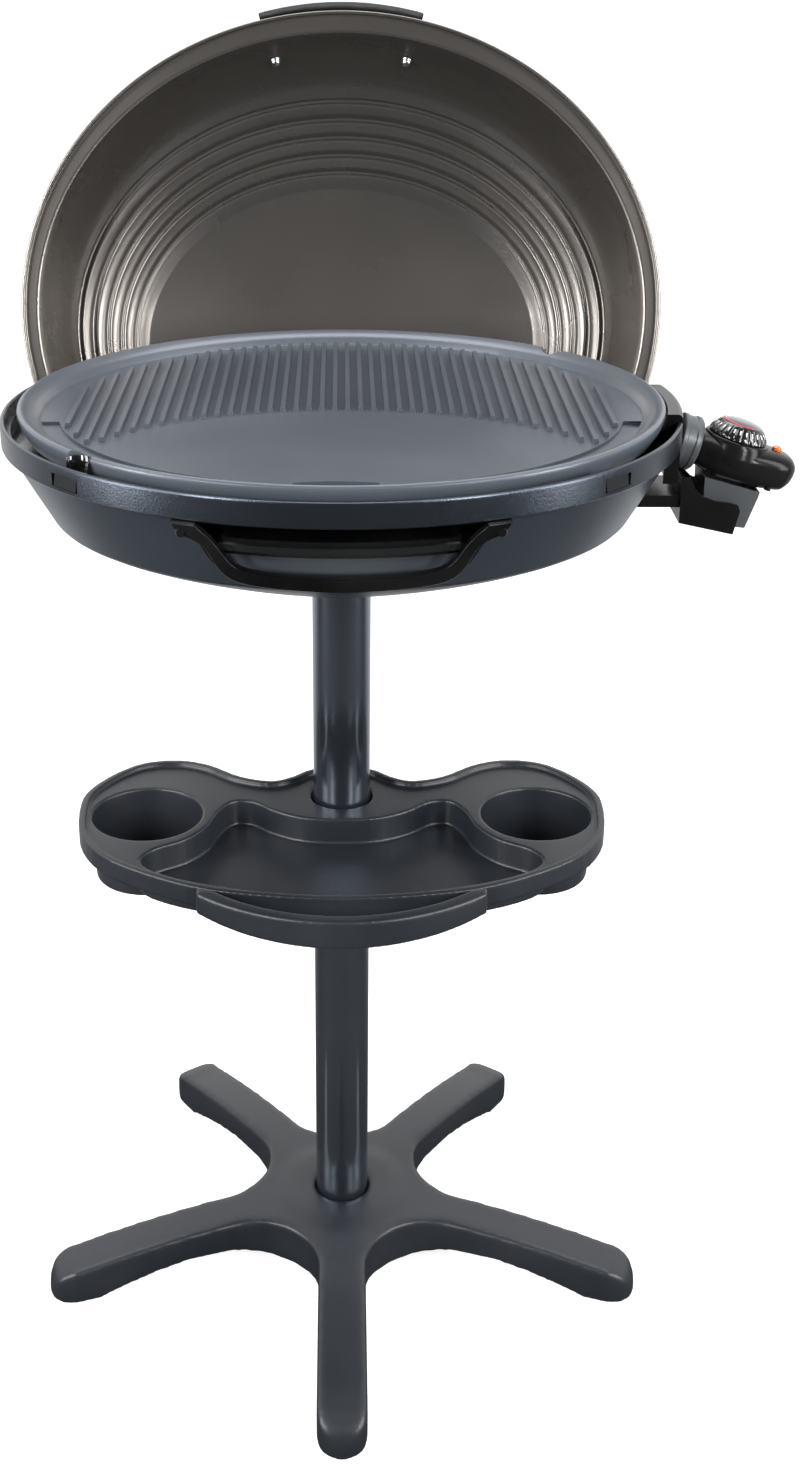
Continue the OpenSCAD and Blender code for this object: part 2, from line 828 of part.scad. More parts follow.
module rib(x) {
    y0 = rib_front(abs(x));
    y1 = rib_rear(abs(x));
    if (y1 - y0 > rib_w) translate([x, y1, cook_z - 0.5]) rotate([90, 0, 0]) linear_extrude(y1 - y0) polygon([
        [-rib_w / 2, 0], [rib_w / 2, 0], [rib_w / 2 - 0.5, rib_h + 0.5],
        [0.5 - rib_w / 2, rib_h + 0.5]
    ]);
}

// Finger notches from outside the rim, and the drain slot at the front.
notch_angles = [41, 221];
notch_w = 27;
notch_r = plate_r - 5;
drain_x = -4;
drain_y = plate_d / 2 - 48.5;
drain_r = 126;
drain_w = 62;
module grill_plate() {
    color(SHEET) difference() {
        union() {
            turned_oval(plate_ratio) polygon([
                [0, plate_under], [plate_r - 20, plate_under],
                [plate_r - 17, skirt_bottom], [plate_r - 7, skirt_bottom],
                [plate_r - 2, plate_top - 11], [plate_r, plate_top - 4],
                [plate_r - 0.4, plate_top - 1.6], [plate_r - 1.6, plate_top - 0.4],
                [plate_r - 3.4, plate_top], [plate_r - 8, plate_top - 1.6],
                [plate_r - 12, plate_top - 4], [plate_r - 14, plate_top - 6],
                [plate_r - 17.4, cook_z + 0.6], [plate_r - 19, cook_z], [0, cook_z]
            ]);
            both_sides() for (i = [0 : rib_count / 2 - 1]) rib((i + 0.5) * rib_pitch);
        }
        intersection() {
            difference() {
                flat_oval(moat_a, moat_b, cook_z - channel_depth, plate_top);
                flat_oval(flat_a, flat_b, 0, plate_top);
            }
            translate([-bowl_r, moat_start - bowl_d, 0]) cube([bowl_w, bowl_d, 1000]);
        }
        intersection() {
            flat_oval(moat_a - 4, moat_b - 6, plate_under - 9, plate_top);
            translate([drain_x, -drain_y - drain_r, plate_under - 9]) cylinder(r = drain_r, h = 40);
            translate([drain_x - drain_w / 2, -bowl_d, 0]) cube([drain_w, bowl_d, 1000]);
        }
        for (a = notch_angles) rotate(a) translate([notch_r, 0, skirt_bottom - 5]) {
            cylinder(d = notch_w, h = 40);
            translate([0, -notch_w / 2, 0]) cube([40, notch_w, 40]);
        }
        for (s = [-1, 1]) translate([shroud_screw_x, s * 24, 0]) cylinder(d = 3.6, h = cook_z - 2);
    }
}

// ---------------------------------------------------------------- heater and socket
// Where the plug's axis leaves the shroud, and its frame: +Z out and down along the plug.
plug_x = bowl_r - 1;
plug_z = band_z - 7;
module at_plug() {
    translate([plug_x, 0, plug_z]) rotate([0, 90 + droop, 0]) children();
}
// A point on the plug's axis, s millimetres outwards from the shroud's face.
function on_plug(s) = [plug_x + s * cos(droop), plug_z - s * sin(droop)];

// A round bar between two points.
module bar(p, q, d) {
    v = q - p;
    translate(p) rotate([0, acos(v[2] / norm(v)), atan2(v[1], v[0])]) {
        cylinder(d = d, h = norm(v));
    }
}

element_z = plate_under - element_d / 2;
open_angle = asin(pin_gap / 2 / element_r);
leg_d = element_d - 0.6;
leg_x = element_r * cos(open_angle) - 2;
arm_in = bowl_r - 61;
pin_start = -44;
pin_end = 12;
module element_legs(d) {
    for (s = [-1, 1]) bar(
        [leg_x, s * pin_gap / 2, element_z],
        [on_plug(pin_start)[0], s * pin_gap / 2, on_plug(pin_start)[1]],
        d
    );
}

module heating_element() {
    color(STEEL) {
        translate([0, 0, element_z]) rotate(open_angle) {
            rotate_extrude(angle = 360 - 2 * open_angle, $fn = FINE) {
                translate([element_r, 0]) circle(d = element_d, $fn = 32);
            }
        }
        element_legs(leg_d);
    }
}

ear_top = plate_top - 3;
ear_side = gap_w / 2 - 0.5;
arm_half = 32;
shroud_screw_x = bowl_r - 49;
module terminal_shroud() {
    color(BLACK) difference() {
        union() {
            intersection() {
                turned_oval(bowl_ratio) polygon([
                    [plate_r + 1.5, gap_z + 2], [bowl_r - 1, gap_z + 2],
                    [bowl_r - 0.5, gap_z + 3], [bowl_r - 0.5, ear_top - 3],
                    [bowl_r - 1.4, ear_top - 1], [bowl_r - 3.5, ear_top],
                    [plate_r + 1.5, ear_top]
                ]);
                translate([bowl_r - 75, -ear_side, 0]) cube([100, 2 * ear_side, 2000]);
            }
            translate([arm_in, -arm_half, plug_z - 12]) {
                cube([plate_r + 4 - arm_in, 2 * arm_half, skirt_bottom - 1 - plug_z + 12]);
            }
            translate([arm_in, -arm_half, plug_z - 12]) {
                cube([26, 2 * arm_half, plate_under - plug_z + 12]);
            }
        }
        at_plug() {
            cylinder(d = collar_d + 2, h = 60);
            translate([0, 0, -probe_len - 4]) cylinder(d = probe_d + 2 * run_gap, h = 60);
            for (s = [-1, 1]) translate([0, s * pin_gap / 2, pin_start]) {
                cylinder(d = pin_d, h = 60);
            }
        }
        element_legs(leg_d + 0.1);
        for (s = [-1, 1]) translate([shroud_screw_x, s * 24, plug_z - 20]) {
            cylinder(d = 4.2, h = 80);
            cylinder(d = 8, h = 14);
        }
    }
}

module contact_pins() {
    pin_len = pin_end - pin_start - 3;
    color(STEEL) at_plug() for (s = [-1, 1]) translate([0, s * pin_gap / 2, pin_start + 1]) {
        cylinder(d = pin_d, h = pin_len);
        translate([0, 0, pin_len]) cylinder(d1 = pin_d, d2 = 2, h = 2);
    }
}

module shroud_screws() {
    color(STEEL) for (s = [-1, 1]) translate([shroud_screw_x, s * 24, plug_z - 6]) {
        mirror([0, 0, 1]) screw(3.5, cook_z - plug_z);
    }
}

// ---------------------------------------------------------------- drip tray
lip_w = 174;
lip_low = drip_z + 4.4;
lip_h = 6;
module drip_tray() {
    color(BLACK) difference() {
        union() {
            intersection() {
                translate([-drip_w / 2, drip_front - 20, drip_z]) {
                    cube([drip_w, drip_len + 20, drip_h]);
                }
                bowl_skin(1.5);
            }
            intersection() {
                translate([-lip_w / 2, drip_front - 20, lip_low]) cube([lip_w, 60, lip_h]);
                difference() {
                    bowl_skin(-3);
                    bowl_skin(4);
                }
            }
        }
        intersection() {
            translate([2 - drip_w / 2, drip_front - 20, drip_z + 2]) {
                cube([drip_w - 4, drip_len + 18, drip_h]);
            }
            bowl_skin(4.5);
        }
    }
}

// ---------------------------------------------------------------- thermostat
// In the plug's frame: z runs outwards along the plug, -x is up, y is across.
body_z0 = collar_len + seat_gap;
body_z1 = body_z0 + housing_len;
dial_z = body_z0 + 31;
top_h = housing_h * 0.42;
low_h = housing_h - top_h;
split_x = 2;

// Plan of the housing from above as half widths along its length, inset by g.
function housing_plan(g) =
    let (
        w = housing_w / 2 - g,
        z0 = body_z0 + g,
        z1 = body_z1 - g,
        half = [
            [z0, w * 0.74], [z0 + 7, w * 0.8], [z0 + 14, w * 0.94], [z0 + 22, w * 0.99],
            [dial_z, w], [dial_z + 14, w * 0.99], [dial_z + 27, w * 0.91],
            [z1 - 16, w * 0.79], [z1 - 8, w * 0.62], [z1 - 3, w * 0.42], [z1, w * 0.16]
        ]
    )
    concat(half, [for (i = [len(half) - 1 : -1 : 0]) [half[i][0], -half[i][1]]]);

// Side view of the housing as [z, height above the plug's axis], inset by g.
function housing_side(g) =
    let (t = top_h - g, b = low_h - g, z0 = body_z0 + g, z1 = body_z1 - g)
    [
        [z0, -b * 0.7], [z0 + 6, -b * 0.85], [z0 + 20, -b], [z0 + 60, -b], [z1 - 9, -b * 0.9],
        [z1 - 3, -b * 0.6], [z1, -b * 0.15], [z1 - 1, t * 0.35], [z1 - 5, t * 0.75],
        [z1 - 12, t * 0.94], [z1 - 22, t], [z0 + 6, t], [z0, t * 0.9]
    ];

// The plan runs along the plug, so it is laid into the plug's frame by swapping axes.
module housing_block(g) {
    intersection() {
        rotate([0, -90, 0]) translate([0, 0, -50]) linear_extrude(100) {
            polygon(housing_plan(g));
        }
        rotate([90, -90, 0]) translate([0, 0, -50]) linear_extrude(100) {
            polygon([for (p = housing_side(g)) [p[0], p[1]]]);
        }
    }
}

module housing_shell() {
    difference() {
        union() {
            housing_block(0);
            translate([-top_h - 1.5, 0, dial_z]) rotate([0, 90, 0]) {
                cylinder(d = dial_d + 4, h = 6, $fn = FINE);
            }
        }
        difference() {
            housing_block(housing_wall);
            for (p = housing_posts) translate([-30, p[0], p[1]]) rotate([0, 90, 0]) {
                cylinder(d = 7, h = 60);
            }
        }
        translate([-30, 0, dial_z]) rotate([0, 90, 0]) {
            cylinder(d = spindle_d + 2 * run_gap, h = 30);
        }
        translate([0, 0, body_z0 - 1]) cylinder(d = probe_d + 0.2, h = 10);
        for (s = [-1, 1]) translate([0, s * pin_gap / 2, body_z0 - 1]) cylinder(d = 8.2, h = 10);
        at_lamp() cylinder(d = 8.1, h = 30);
        at_gland() translate([0, 0, -14]) cylinder(d = 10.1, h = 22);
        at_housing_screws() {
            cylinder(d = 2.8, h = 24);
            cylinder(d = 5.6, h = 5);
        }
    }
}

module at_lamp() {
    translate([-top_h + 4, 0, dial_z + dial_d / 2 + 10.5]) rotate([0, -90, 0]) children();
}

module at_gland() {
    translate([split_x + 4, housing_w / 2 - 9, body_z1 - 18]) rotate([-90, 0, 0]) children();
}

// Screw posts inside the housing as [across, along] the plug.
housing_posts = [
    [-18, dial_z + 34], [17, dial_z + 22], [-17.5, body_z0 + 18], [17.5, body_z0 + 18]
];
module at_housing_screws() {
    for (p = housing_posts) {
        translate([low_h + 1, p[0], p[1]]) rotate([0, -90, 0]) children();
    }
}

module housing_upper() {
    color(BLACK) at_plug() intersection() {
        housing_shell();
        translate([-60, -60, body_z0 - 5]) cube([60 + split_x, 120, 200]);
    }
}

module housing_lower() {
    color(BLACK) at_plug() intersection() {
        housing_shell();
        translate([split_x, -60, body_z0 - 5]) cube([60, 120, 200]);
    }
}

module plug_collar() {
    color("#a9abac") at_plug() difference() {
        translate([0, 0, seat_gap]) rotate_extrude($fn = FINE) polygon([
            [0, 0], [collar_d / 2 - 1, 0], [collar_d / 2, 1], [collar_d / 2, 4],
            [collar_d / 2 - 0.8, 4.8], [collar_d / 2 - 0.8, 11], [collar_d / 2, 12],
            [collar_d / 2, collar_len - 2], [collar_d / 2 - 2, collar_len], [0, collar_len]
        ]);
        translate([0, 0, -1]) cylinder(d = probe_d, h = collar_len + 3);
        for (s = [-1, 1]) translate([0, s * pin_gap / 2, -1]) cylinder(d = 8, h = collar_len + 3);
    }
}

module probe_rod() {
    color(STEEL) at_plug() {
        translate([0, 0, -probe_len]) cylinder(d = probe_d, h = body_z0 + 14 + probe_len);
        translate([0, 0, -probe_len]) sphere(d = probe_d);
    }
}

module contact_sockets() {
    color("#c9a24a") at_plug() for (s = [-1, 1]) translate([0, s * pin_gap / 2, seat_gap]) {
        difference() {
            cylinder(d = 8, h = body_z0 + 10);
            translate([0, 0, -1]) cylinder(d = pin_d + 2 * run_gap, h = body_z0 + 1);
        }
    }
}

spindle_d = 6;
switch_w = 24;
module thermal_switch() {
    color("#c8b58a") at_plug() difference() {
        translate([-7, -switch_w / 2 + 4, body_z0 + 11]) {
            cube([7 + low_h - housing_wall - 4, switch_w - 8, 42]);
        }
        translate([0, 0, body_z0]) cylinder(d = probe_d + 0.1, h = 14.1);
        translate([-20, 0, dial_z]) rotate([0, 90, 0]) {
            cylinder(d = spindle_d + 2 * run_gap, h = 24);
        }
        for (s = [-1, 1]) translate([0, s * pin_gap / 2, 0]) cylinder(d = 8.2, h = 60);
    }
}

module lamp_lens() {
    color("#e8771f") at_plug() at_lamp() {
        cylinder(d = 8, h = 5.6);
        intersection() {
            translate([0, 0, 3]) sphere(d = 9.2);
            translate([0, 0, 5.6]) cylinder(d = 8, h = 5);
        }
    }
}

module lamp() {
    color("#f0d8b0") at_plug() at_lamp() translate([0, 0, -7]) {
        cylinder(d = 4, h = 7);
    }
}

module cord_gland() {
    color(BLACK) at_plug() at_gland() difference() {
        union() {
            translate([0, 0, -8]) cylinder(d = 10, h = 14);
            translate([0, 0, -5.8]) cylinder(d = 12, h = 2.2);
            translate([0, 0, 5.5]) cylinder(d1 = 13, d2 = 9, h = 13);
        }
        translate([0, 0, -9]) cylinder(d = 6.6, h = 40);
        for (z = [9 : 3 : 15]) translate([0, 0, z]) difference() {
            cylinder(d = 20, h = 1.4);
            cylinder(d = 8.4, h = 1.4);
        }
    }
}

// Open skirt under the plug: a heat shield in front of the guard's back.
module heat_skirt() {
    skirt_y = 22;
    color("#8f9294") difference() {
        translate([0, skirt_y, 0]) rotate([90, 0, 0]) linear_extrude(2 * skirt_y) {
            polygon([
                [plug_x + 22, plug_z - 18], [plug_x + 70, plug_z - 32],
                [plug_x + 67, plug_z - 44], [plug_x + 58, plug_z - 70],
                [plug_x + 23, plug_z - 66]
            ]);
        }
        translate([0, skirt_y - 2, 0]) rotate([90, 0, 0]) linear_extrude(2 * skirt_y - 4) {
            polygon([
                [plug_x + 24, plug_z - 20], [plug_x + 68, plug_z - 34],
                [plug_x + 64.8, plug_z - 44], [plug_x + 55, plug_z - 72],
                [plug_x + 25, plug_z - 72]
            ]);
        }
        at_plug() translate([-40, -60, body_z0 - 30]) cube([40 + low_h, 120, 200]);
        at_plug() translate([-40, -60, body_z0 - 60]) cube([80, 120, 60]);
    }
}

module housing_screws() {
    color(STEEL) at_plug() at_housing_screws() {
        translate([0, 0, 3.6]) cylinder(d = 5.4, h = 1.4);
        translate([0, 0, 5]) cylinder(d = 2.8, h = 16);
    }
}

module dial() {
    color(BLACK) at_plug() translate([-top_h - 1.5 - seat_gap, 0, dial_z]) rotate([0, -90, 0]) {
        difference() {
            rotate_extrude($fn = FINE) polygon([
                [0, 0], [dial_d / 2, 0], [dial_d / 2, 1.2], [dial_d / 2 - 1.2, 5],
                [dial_d / 2 - 3, 6.6], [dial_d / 2 - 5.5, 7.4], [dial_d / 2 - 7.5, dial_h * 0.75],
                [dial_d / 2 - 10.5, dial_h * 0.92], [dial_d / 2 - 14.5, dial_h], [0, dial_h]
            ]);
            translate([0, 0, -1]) cylinder(d = spindle_d, h = 7);
            for (a = [0 : 20 : 340]) rotate(a) translate([dial_d / 2 + 0.4, 0, -1]) {
                cylinder(d = 2, h = 5);
            }
        }
    }
}

module dial_spindle() {
    color(STEEL) at_plug() translate([-top_h - 1.5 - seat_gap, 0, dial_z]) {
        rotate([0, -90, 0]) translate([0, 0, -14]) cylinder(d = spindle_d, h = 20);
    }
}

// ---------------------------------------------------------------- guard below the plug
guard_y = 30;
module socket_guard() {
    color(BLACK) difference() {
        union() {
            difference() {
                translate([0, guard_y, 0]) rotate([90, 0, 0]) linear_extrude(2 * guard_y) {
                    polygon([
                        [plug_x + 2, plug_z - 24], [plug_x + 10, plug_z - 24.5],
                        [plug_x + 13, plug_z - 33], [plug_x + 20, plug_z - 40],
                        [plug_x + 31, plug_z - 44.5], [plug_x + 43, plug_z - 46],
                        [plug_x + 49.5, plug_z - 48], [plug_x + 51.5, plug_z - 53],
                        [plug_x + 47, plug_z - 73], [plug_x + 2, plug_z - 63]
                    ]);
                }
                translate([plug_x + 4.5, 2.5 - guard_y, 0]) {
                    cube([80, 2 * guard_y - 5, 1000]);
                }
            }
            translate([plug_x - 60, -guard_y + 2, plug_z - 44]) {
                cube([63, 2 * guard_y - 4, 4]);
            }
            translate([plug_x - 60, -guard_y + 2, plug_z - 50]) {
                cube([63, 5, 8]);
            }
            translate([plug_x - 60, guard_y - 7, plug_z - 50]) {
                cube([63, 5, 8]);
            }
        }
        bowl_solid(0, rim_z);
        at_guard_screws() cylinder(d = 3.6, h = 40);
        at_plug() translate([0, 0, -20]) cylinder(d = collar_d + 4, h = 90);
    }
}

guard_screw_y = 25.5;
module at_guard_screws() {
    for (s = [-1, 1]) translate([knee_r - 11, s * guard_screw_y, plug_z - 46]) {
        rotate([0, 90, 0]) children();
    }
}

module guard_screws() {
    color(STEEL) at_guard_screws() {
        cylinder(d = 7, h = 2.4);
        cylinder(d = 3.5, h = 28);
    }
}

// ---------------------------------------------------------------- lid
lid_a = lid_w / 2;
lid_span = lid_front + lid_rear;
// The closed lid's frame stands behind the bowl: dome backwards, handle up.
lid_y = bowl_d / 2 + 9.5;
lid_z = rim_z + 10;
module at_lid() {
    translate([0, lid_y, lid_z]) rotate([-90 - lid_lean, 0, 0]) children();
}

// Rings of the lid's inside as [half width, front edge, rear edge, depth].
ring_last = max(1, ring_count - 1);
lid_rings = concat(
    [
        [lid_a - lid_flange, lid_front - lid_flange - 3, lid_rear - lid_flange + 1, 0],
        [lid_a - lid_flange - 2, lid_front - lid_flange - 5, lid_rear - lid_flange - 1, 5],
        [lid_a - 21, lid_front - 27, lid_rear - 20, lid_depth * 0.28],
        [lid_a - 27, lid_front - 39, lid_rear - 24, lid_depth * 0.48],
        [lid_a - 34, lid_front - 53, lid_rear - 29, lid_depth * 0.64]
    ],
    [for (k = [0 : ring_count - 1], e = [0, 1])
        let (
            u = k / ring_last,
            a = lid_a - 40 - 53 * u - 2.5 * e,
            f = lid_front - 66.5 - 64.5 * u - 2.5 * e,
            r = lid_rear - 34 - 42 * u - 2.5 * e
        )
        [a, f, r, lid_depth * 0.74 + lid_depth * 0.22 * pow(u, 0.8) + (1 - e) * -ring_h]],
    [
        [lid_a - 104, lid_front - 145, lid_rear - 83, lid_depth - 2],
        [lid_a - 109, lid_front - 150, lid_rear - 88, lid_depth]
    ]
);
lid_steps = 72;

// Loops of one skin, offset outwards by t and shifted in depth by up.
function lid_loop(r, t, up) = [
    for (i = [0 : lid_steps - 1])
        let (a = 360 * i / lid_steps)
        [
            (r[0] + t) * cos(a),
            (r[2] - r[1]) / 2 + ((r[1] + r[2]) / 2 + t) * sin(a),
            r[3] + up
        ]
];

module skin_pair(loops) {
    m = lid_steps;
    n = len(loops);
    polyhedron(
        points = [for (l = loops, p = l) p],
        faces = concat(
            [[for (i = [0 : m - 1]) i]],
            [[for (i = [m - 1 : -1 : 0]) (n - 1) * m + i]],
            [for (j = [0 : n - 2], i = [0 : m - 1], h = [0, 1])
                let (a = j * m + i, b = j * m + (i + 1) % m)
                h == 0 ? [a, a + m, b] : [b, a + m, b + m]]
        )
    );
}

flange_edge = [lid_a, lid_front, lid_rear, 0];
module lid_shell() {
    color(TAUPE) at_lid() difference() {
        skin_pair(concat(
            [
                lid_loop(flange_edge, -1, -3.4),
                lid_loop(flange_edge, 0, -2.4),
                lid_loop(flange_edge, 0, 1.2),
                lid_loop(flange_edge, -1.2, lid_t + 0.6)
            ],
            [lid_loop(lid_rings[0], lid_t + 0.5, lid_t)],
            [for (i = [1 : len(lid_rings) - 1])
                lid_loop(lid_rings[i], i > 4 ? lid_t * 0.5 : lid_t, lid_t * (i > 3 ? 0.9 : 0.3))]
        ));
        skin_pair(concat(
            [
                lid_loop(flange_edge, -2.6, -9),
                lid_loop(flange_edge, -3.2, -0.6),
                lid_loop(flange_edge, -4.2, 0)
            ],
            [for (r = lid_rings) lid_loop(r, 0, 0)]
        ));
        at_lid_screws() translate([0, 0, -30]) cylinder(d = lid_screw_d + 0.2, h = 60);
    }
}

lid_screw_d = 5;
lid_screw_h = lid_depth * 0.36;
wall_tilt = 27;
wall_turn = 11;
wall_y = (lid_rear - lid_front + 10) / 2
    - (lid_span - 53.4) / 2 * sqrt(1 - pow(lid_screw_gap / 2 / (lid_a - 23.4), 2));
// Frame of a lid screw: origin on the wall's inside, +Z straight out of the lid.
module at_lid_screws() {
    both_sides() translate([lid_screw_gap / 2, wall_y, lid_screw_h]) {
        rotate([90 - wall_tilt, 0, wall_turn]) children();
    }
}

foot_len = 40;
foot_d = 15;
// The grip is a bow, parallel to the flange, at the outer ends of its two feet.
grip_r = 290;
grip_half = 75;
grip_out = -(lid_rear - lid_front + 10) / 2 + (lid_span - 53.4) / 2
    + foot_len * cos(wall_tilt);
grip_mid = lid_screw_h + foot_len * sin(wall_tilt);
// Section of the grip as [outwards, across], with the seam between its two halves.
grip_section = [
    [7, -15], [7, 15], [3, 18], [-4, 18], [-9, 14], [-9, -14], [-4, -18], [1, -18],
    [2, -16.5], [3, -17.8]
];
module lid_handle() {
    grip_angle = asin(grip_half / grip_r);
    color(BLACK) at_lid() difference() {
        union() {
            at_lid_screws() translate([0, 0, lid_t + 2.6]) cylinder(d = foot_d, h = foot_len - 6);
            translate([0, grip_r - grip_out, 0]) rotate(-90 - grip_angle) {
                rotate_extrude(angle = 2 * grip_angle, $fn = FINE) {
                    translate([grip_r, grip_mid]) rotate(wall_tilt) polygon(grip_section);
                }
            }
        }
        at_lid_screws() cylinder(d = lid_screw_d, h = foot_len - 8);
    }
}

module lid_washers() {
    color(STEEL) at_lid() at_lid_screws() translate([0, 0, lid_t + 1.3]) difference() {
        cylinder(d = foot_d + 3, h = 1.3);
        translate([0, 0, -1]) cylinder(d = lid_screw_d + 0.2, h = 5);
    }
}

module lid_nuts() {
    color(STEEL) at_lid() at_lid_screws() {
        translate([0, 0, -6]) cylinder(d = lid_screw_d, h = foot_len - 4);
        translate([0, 0, -6.6]) cylinder(d = 11, h = 5);
        translate([0, 0, -6.6]) sphere(d = 9);
    }
}

// ---------------------------------------------------------------- holder of the parked lid
hook_x = bowl_r - 125;
hook_w = 14;
hook_t = 3;
// World [y, z] of a point of the lid's plane: v up along the lid, d into its dome.
function in_lid(v, d) = [
    lid_y + v * sin(lid_lean) + d * cos(lid_lean),
    lid_z + v * cos(lid_lean) - d * sin(lid_lean)
];
seat_v = (lid_front - lid_rear) / 2
    - lid_span / 2 * sqrt(1 - pow((hook_x - hook_w / 2) / lid_a, 2)) - seat_gap;
module lid_hooks() {
    color(SHEET) both_sides() difference() {
        union() {
            translate([hook_x - hook_w / 2, 0, 0]) rotate([90, 0, 90]) linear_extrude(hook_w) {
                polygon([
                    in_lid(seat_v + 12, 3.2 + hook_t), in_lid(seat_v + 12, 3.2),
                    in_lid(seat_v, 3.2), in_lid(seat_v, -3.8), in_lid(seat_v + 12, -3.8),
                    [pad_y - 1, pad_z - 12], [pad_y, pad_z - 8], [pad_y, pad_z + 9],
                    [pad_y - hook_t, pad_z + 9], [pad_y - hook_t, pad_z - 8],
                    in_lid(seat_v + 12, -3.8 - hook_t), in_lid(seat_v - hook_t, -3.8 - hook_t),
                    in_lid(seat_v - hook_t, 3.2 + hook_t)
                ]);
            }
            difference() {
                translate([hook_x - hook_w / 2, pad_y - 45, pad_z - 7]) {
                    cube([hook_w, 45, 15]);
                }
                bowl_solid(0, rim_z);
            }
        }
        at_hook_screws() cylinder(d = 4.8, h = 60);
    }
}

module at_hook_screws() {
    translate([hook_x, pad_y - 30, pad_z]) rotate([-90, 0, 0]) children();
}

module hook_screws() {
    color(STEEL) both_sides() at_hook_screws() {
        cylinder(d = 9, h = 3);
        cylinder(d = 4.8, h = 29);
    }
}

base_star();
foot_pads();
base_screw();
tube_plug();
lower_tube();
tube_coupler();
upper_tube();
storage_tray();
tray_rail();
bowl_shell();
rim_ring();
snap_clips();
pole_socket();
socket_screws();
front_handle();
rear_handle();
handle_screws();
tray_cradle();
heat_reflector();
plate_supports();
lid_hooks();
hook_screws();
socket_guard();
guard_screws();
drip_tray();
grill_plate();
heating_element();
terminal_shroud();
contact_pins();
shroud_screws();
housing_upper();
housing_lower();
plug_collar();
probe_rod();
contact_sockets();
thermal_switch();
lamp_lens();
lamp();
cord_gland();
heat_skirt();
housing_screws();
dial();
dial_spindle();
lid_shell();
lid_handle();
lid_washers();
lid_nuts();
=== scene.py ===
"""Looks of the pedestal electric grill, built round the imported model.

Lengths are metres, except where a value is multiplied by MM: those are millimetres. So is the
camera's sensor.
"""
import json
import math

import bmesh
import bpy
import numpy as np
from mathutils import Matrix, Vector


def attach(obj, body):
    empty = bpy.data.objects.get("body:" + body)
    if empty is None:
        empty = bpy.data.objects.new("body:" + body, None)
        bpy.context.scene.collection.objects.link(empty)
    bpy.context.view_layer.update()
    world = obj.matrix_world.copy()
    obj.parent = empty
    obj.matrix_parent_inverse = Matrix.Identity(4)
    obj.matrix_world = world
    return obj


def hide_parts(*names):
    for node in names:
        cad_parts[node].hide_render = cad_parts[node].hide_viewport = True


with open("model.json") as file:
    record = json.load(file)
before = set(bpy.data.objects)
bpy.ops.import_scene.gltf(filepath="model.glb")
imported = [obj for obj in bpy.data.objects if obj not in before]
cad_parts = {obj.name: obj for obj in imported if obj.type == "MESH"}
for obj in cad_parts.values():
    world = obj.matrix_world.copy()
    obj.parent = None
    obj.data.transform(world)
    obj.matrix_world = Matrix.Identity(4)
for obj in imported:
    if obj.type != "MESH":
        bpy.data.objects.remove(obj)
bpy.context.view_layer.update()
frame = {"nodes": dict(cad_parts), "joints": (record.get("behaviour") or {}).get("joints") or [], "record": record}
NODES = frame["nodes"]
BODY_OF = {node: body for body, nodes in frame["record"]["behaviour"]["bodies"].items()
           for node in nodes}
SLOT_OF = {part["node"]: part["material_slot"] for part in frame["record"]["subparts"]}
DARK_NODES = ("handle_screws", "guard_screws", "hook_screws", "socket_screws",
              "housing_screws", "snap_clips")
MM = 0.001

# ------------------------------------------------------------------ camera
# The photo's size, focal length and optical axis are in its pixels, the angles in degrees
# (the roll in radians).
IMAGE_W, IMAGE_H = 800, 1468
FOCAL_PX = 1814.4
AXIS_PX = (344.9, 667.7)
PITCH_DOWN = 23.23
ROLL = -0.002
EYE = (0.0, -1.441, 1.2344)
SENSOR = 36.0
CLIP_END = 100


def make_camera():
    data = bpy.data.cameras.new("camera")
    cam = bpy.data.objects.new("camera", data)
    bpy.context.collection.objects.link(cam)
    data.sensor_width = SENSOR
    data.lens = FOCAL_PX / IMAGE_H * SENSOR
    data.shift_x = (IMAGE_W / 2 - AXIS_PX[0]) / IMAGE_H
    data.shift_y = -(IMAGE_H / 2 - AXIS_PX[1]) / IMAGE_H
    data.clip_end = CLIP_END
    cam.location = EYE
    cam.rotation_euler = (math.radians(90 - PITCH_DOWN), 0, ROLL)
    bpy.context.scene.camera = cam


# ------------------------------------------------------------------ materials
CLOUD_DETAIL, CLOUD_LOW, CLOUD_HIGH = 5, 0.3, 0.7
CLOUD_LIFT = 0.1
GLOSS_SPREAD, GLOSS_LEAST = 0.05, 0.02
GRAIN_DETAIL, GRAIN_DEPTH = 2, 0.0006
BLACK, WHITE = [0, 0, 0, 1], [1, 1, 1, 1]


def linear(hex_colour):
    """sRGB hex to the linear RGBA that Blender's sockets take."""
    parts = [int(hex_colour[i:i + 2], 16) / 255 for i in (1, 3, 5)]
    return [p / 12.92 if p <= 0.04045 else ((p + 0.055) / 1.055) ** 2.4 for p in parts] + [1.0]


def mixed(a, b, t):
    return [x * (1 - t) + y * t for x, y in zip(a, b)]


def noise(nodes, links, place, scale, detail):
    """A noise texture on the piece's own coordinates."""
    node = nodes.new("ShaderNodeTexNoise")
    node.inputs["Scale"].default_value = scale
    node.inputs["Detail"].default_value = detail
    links.new(place.outputs["Object"], node.inputs["Vector"])
    return node


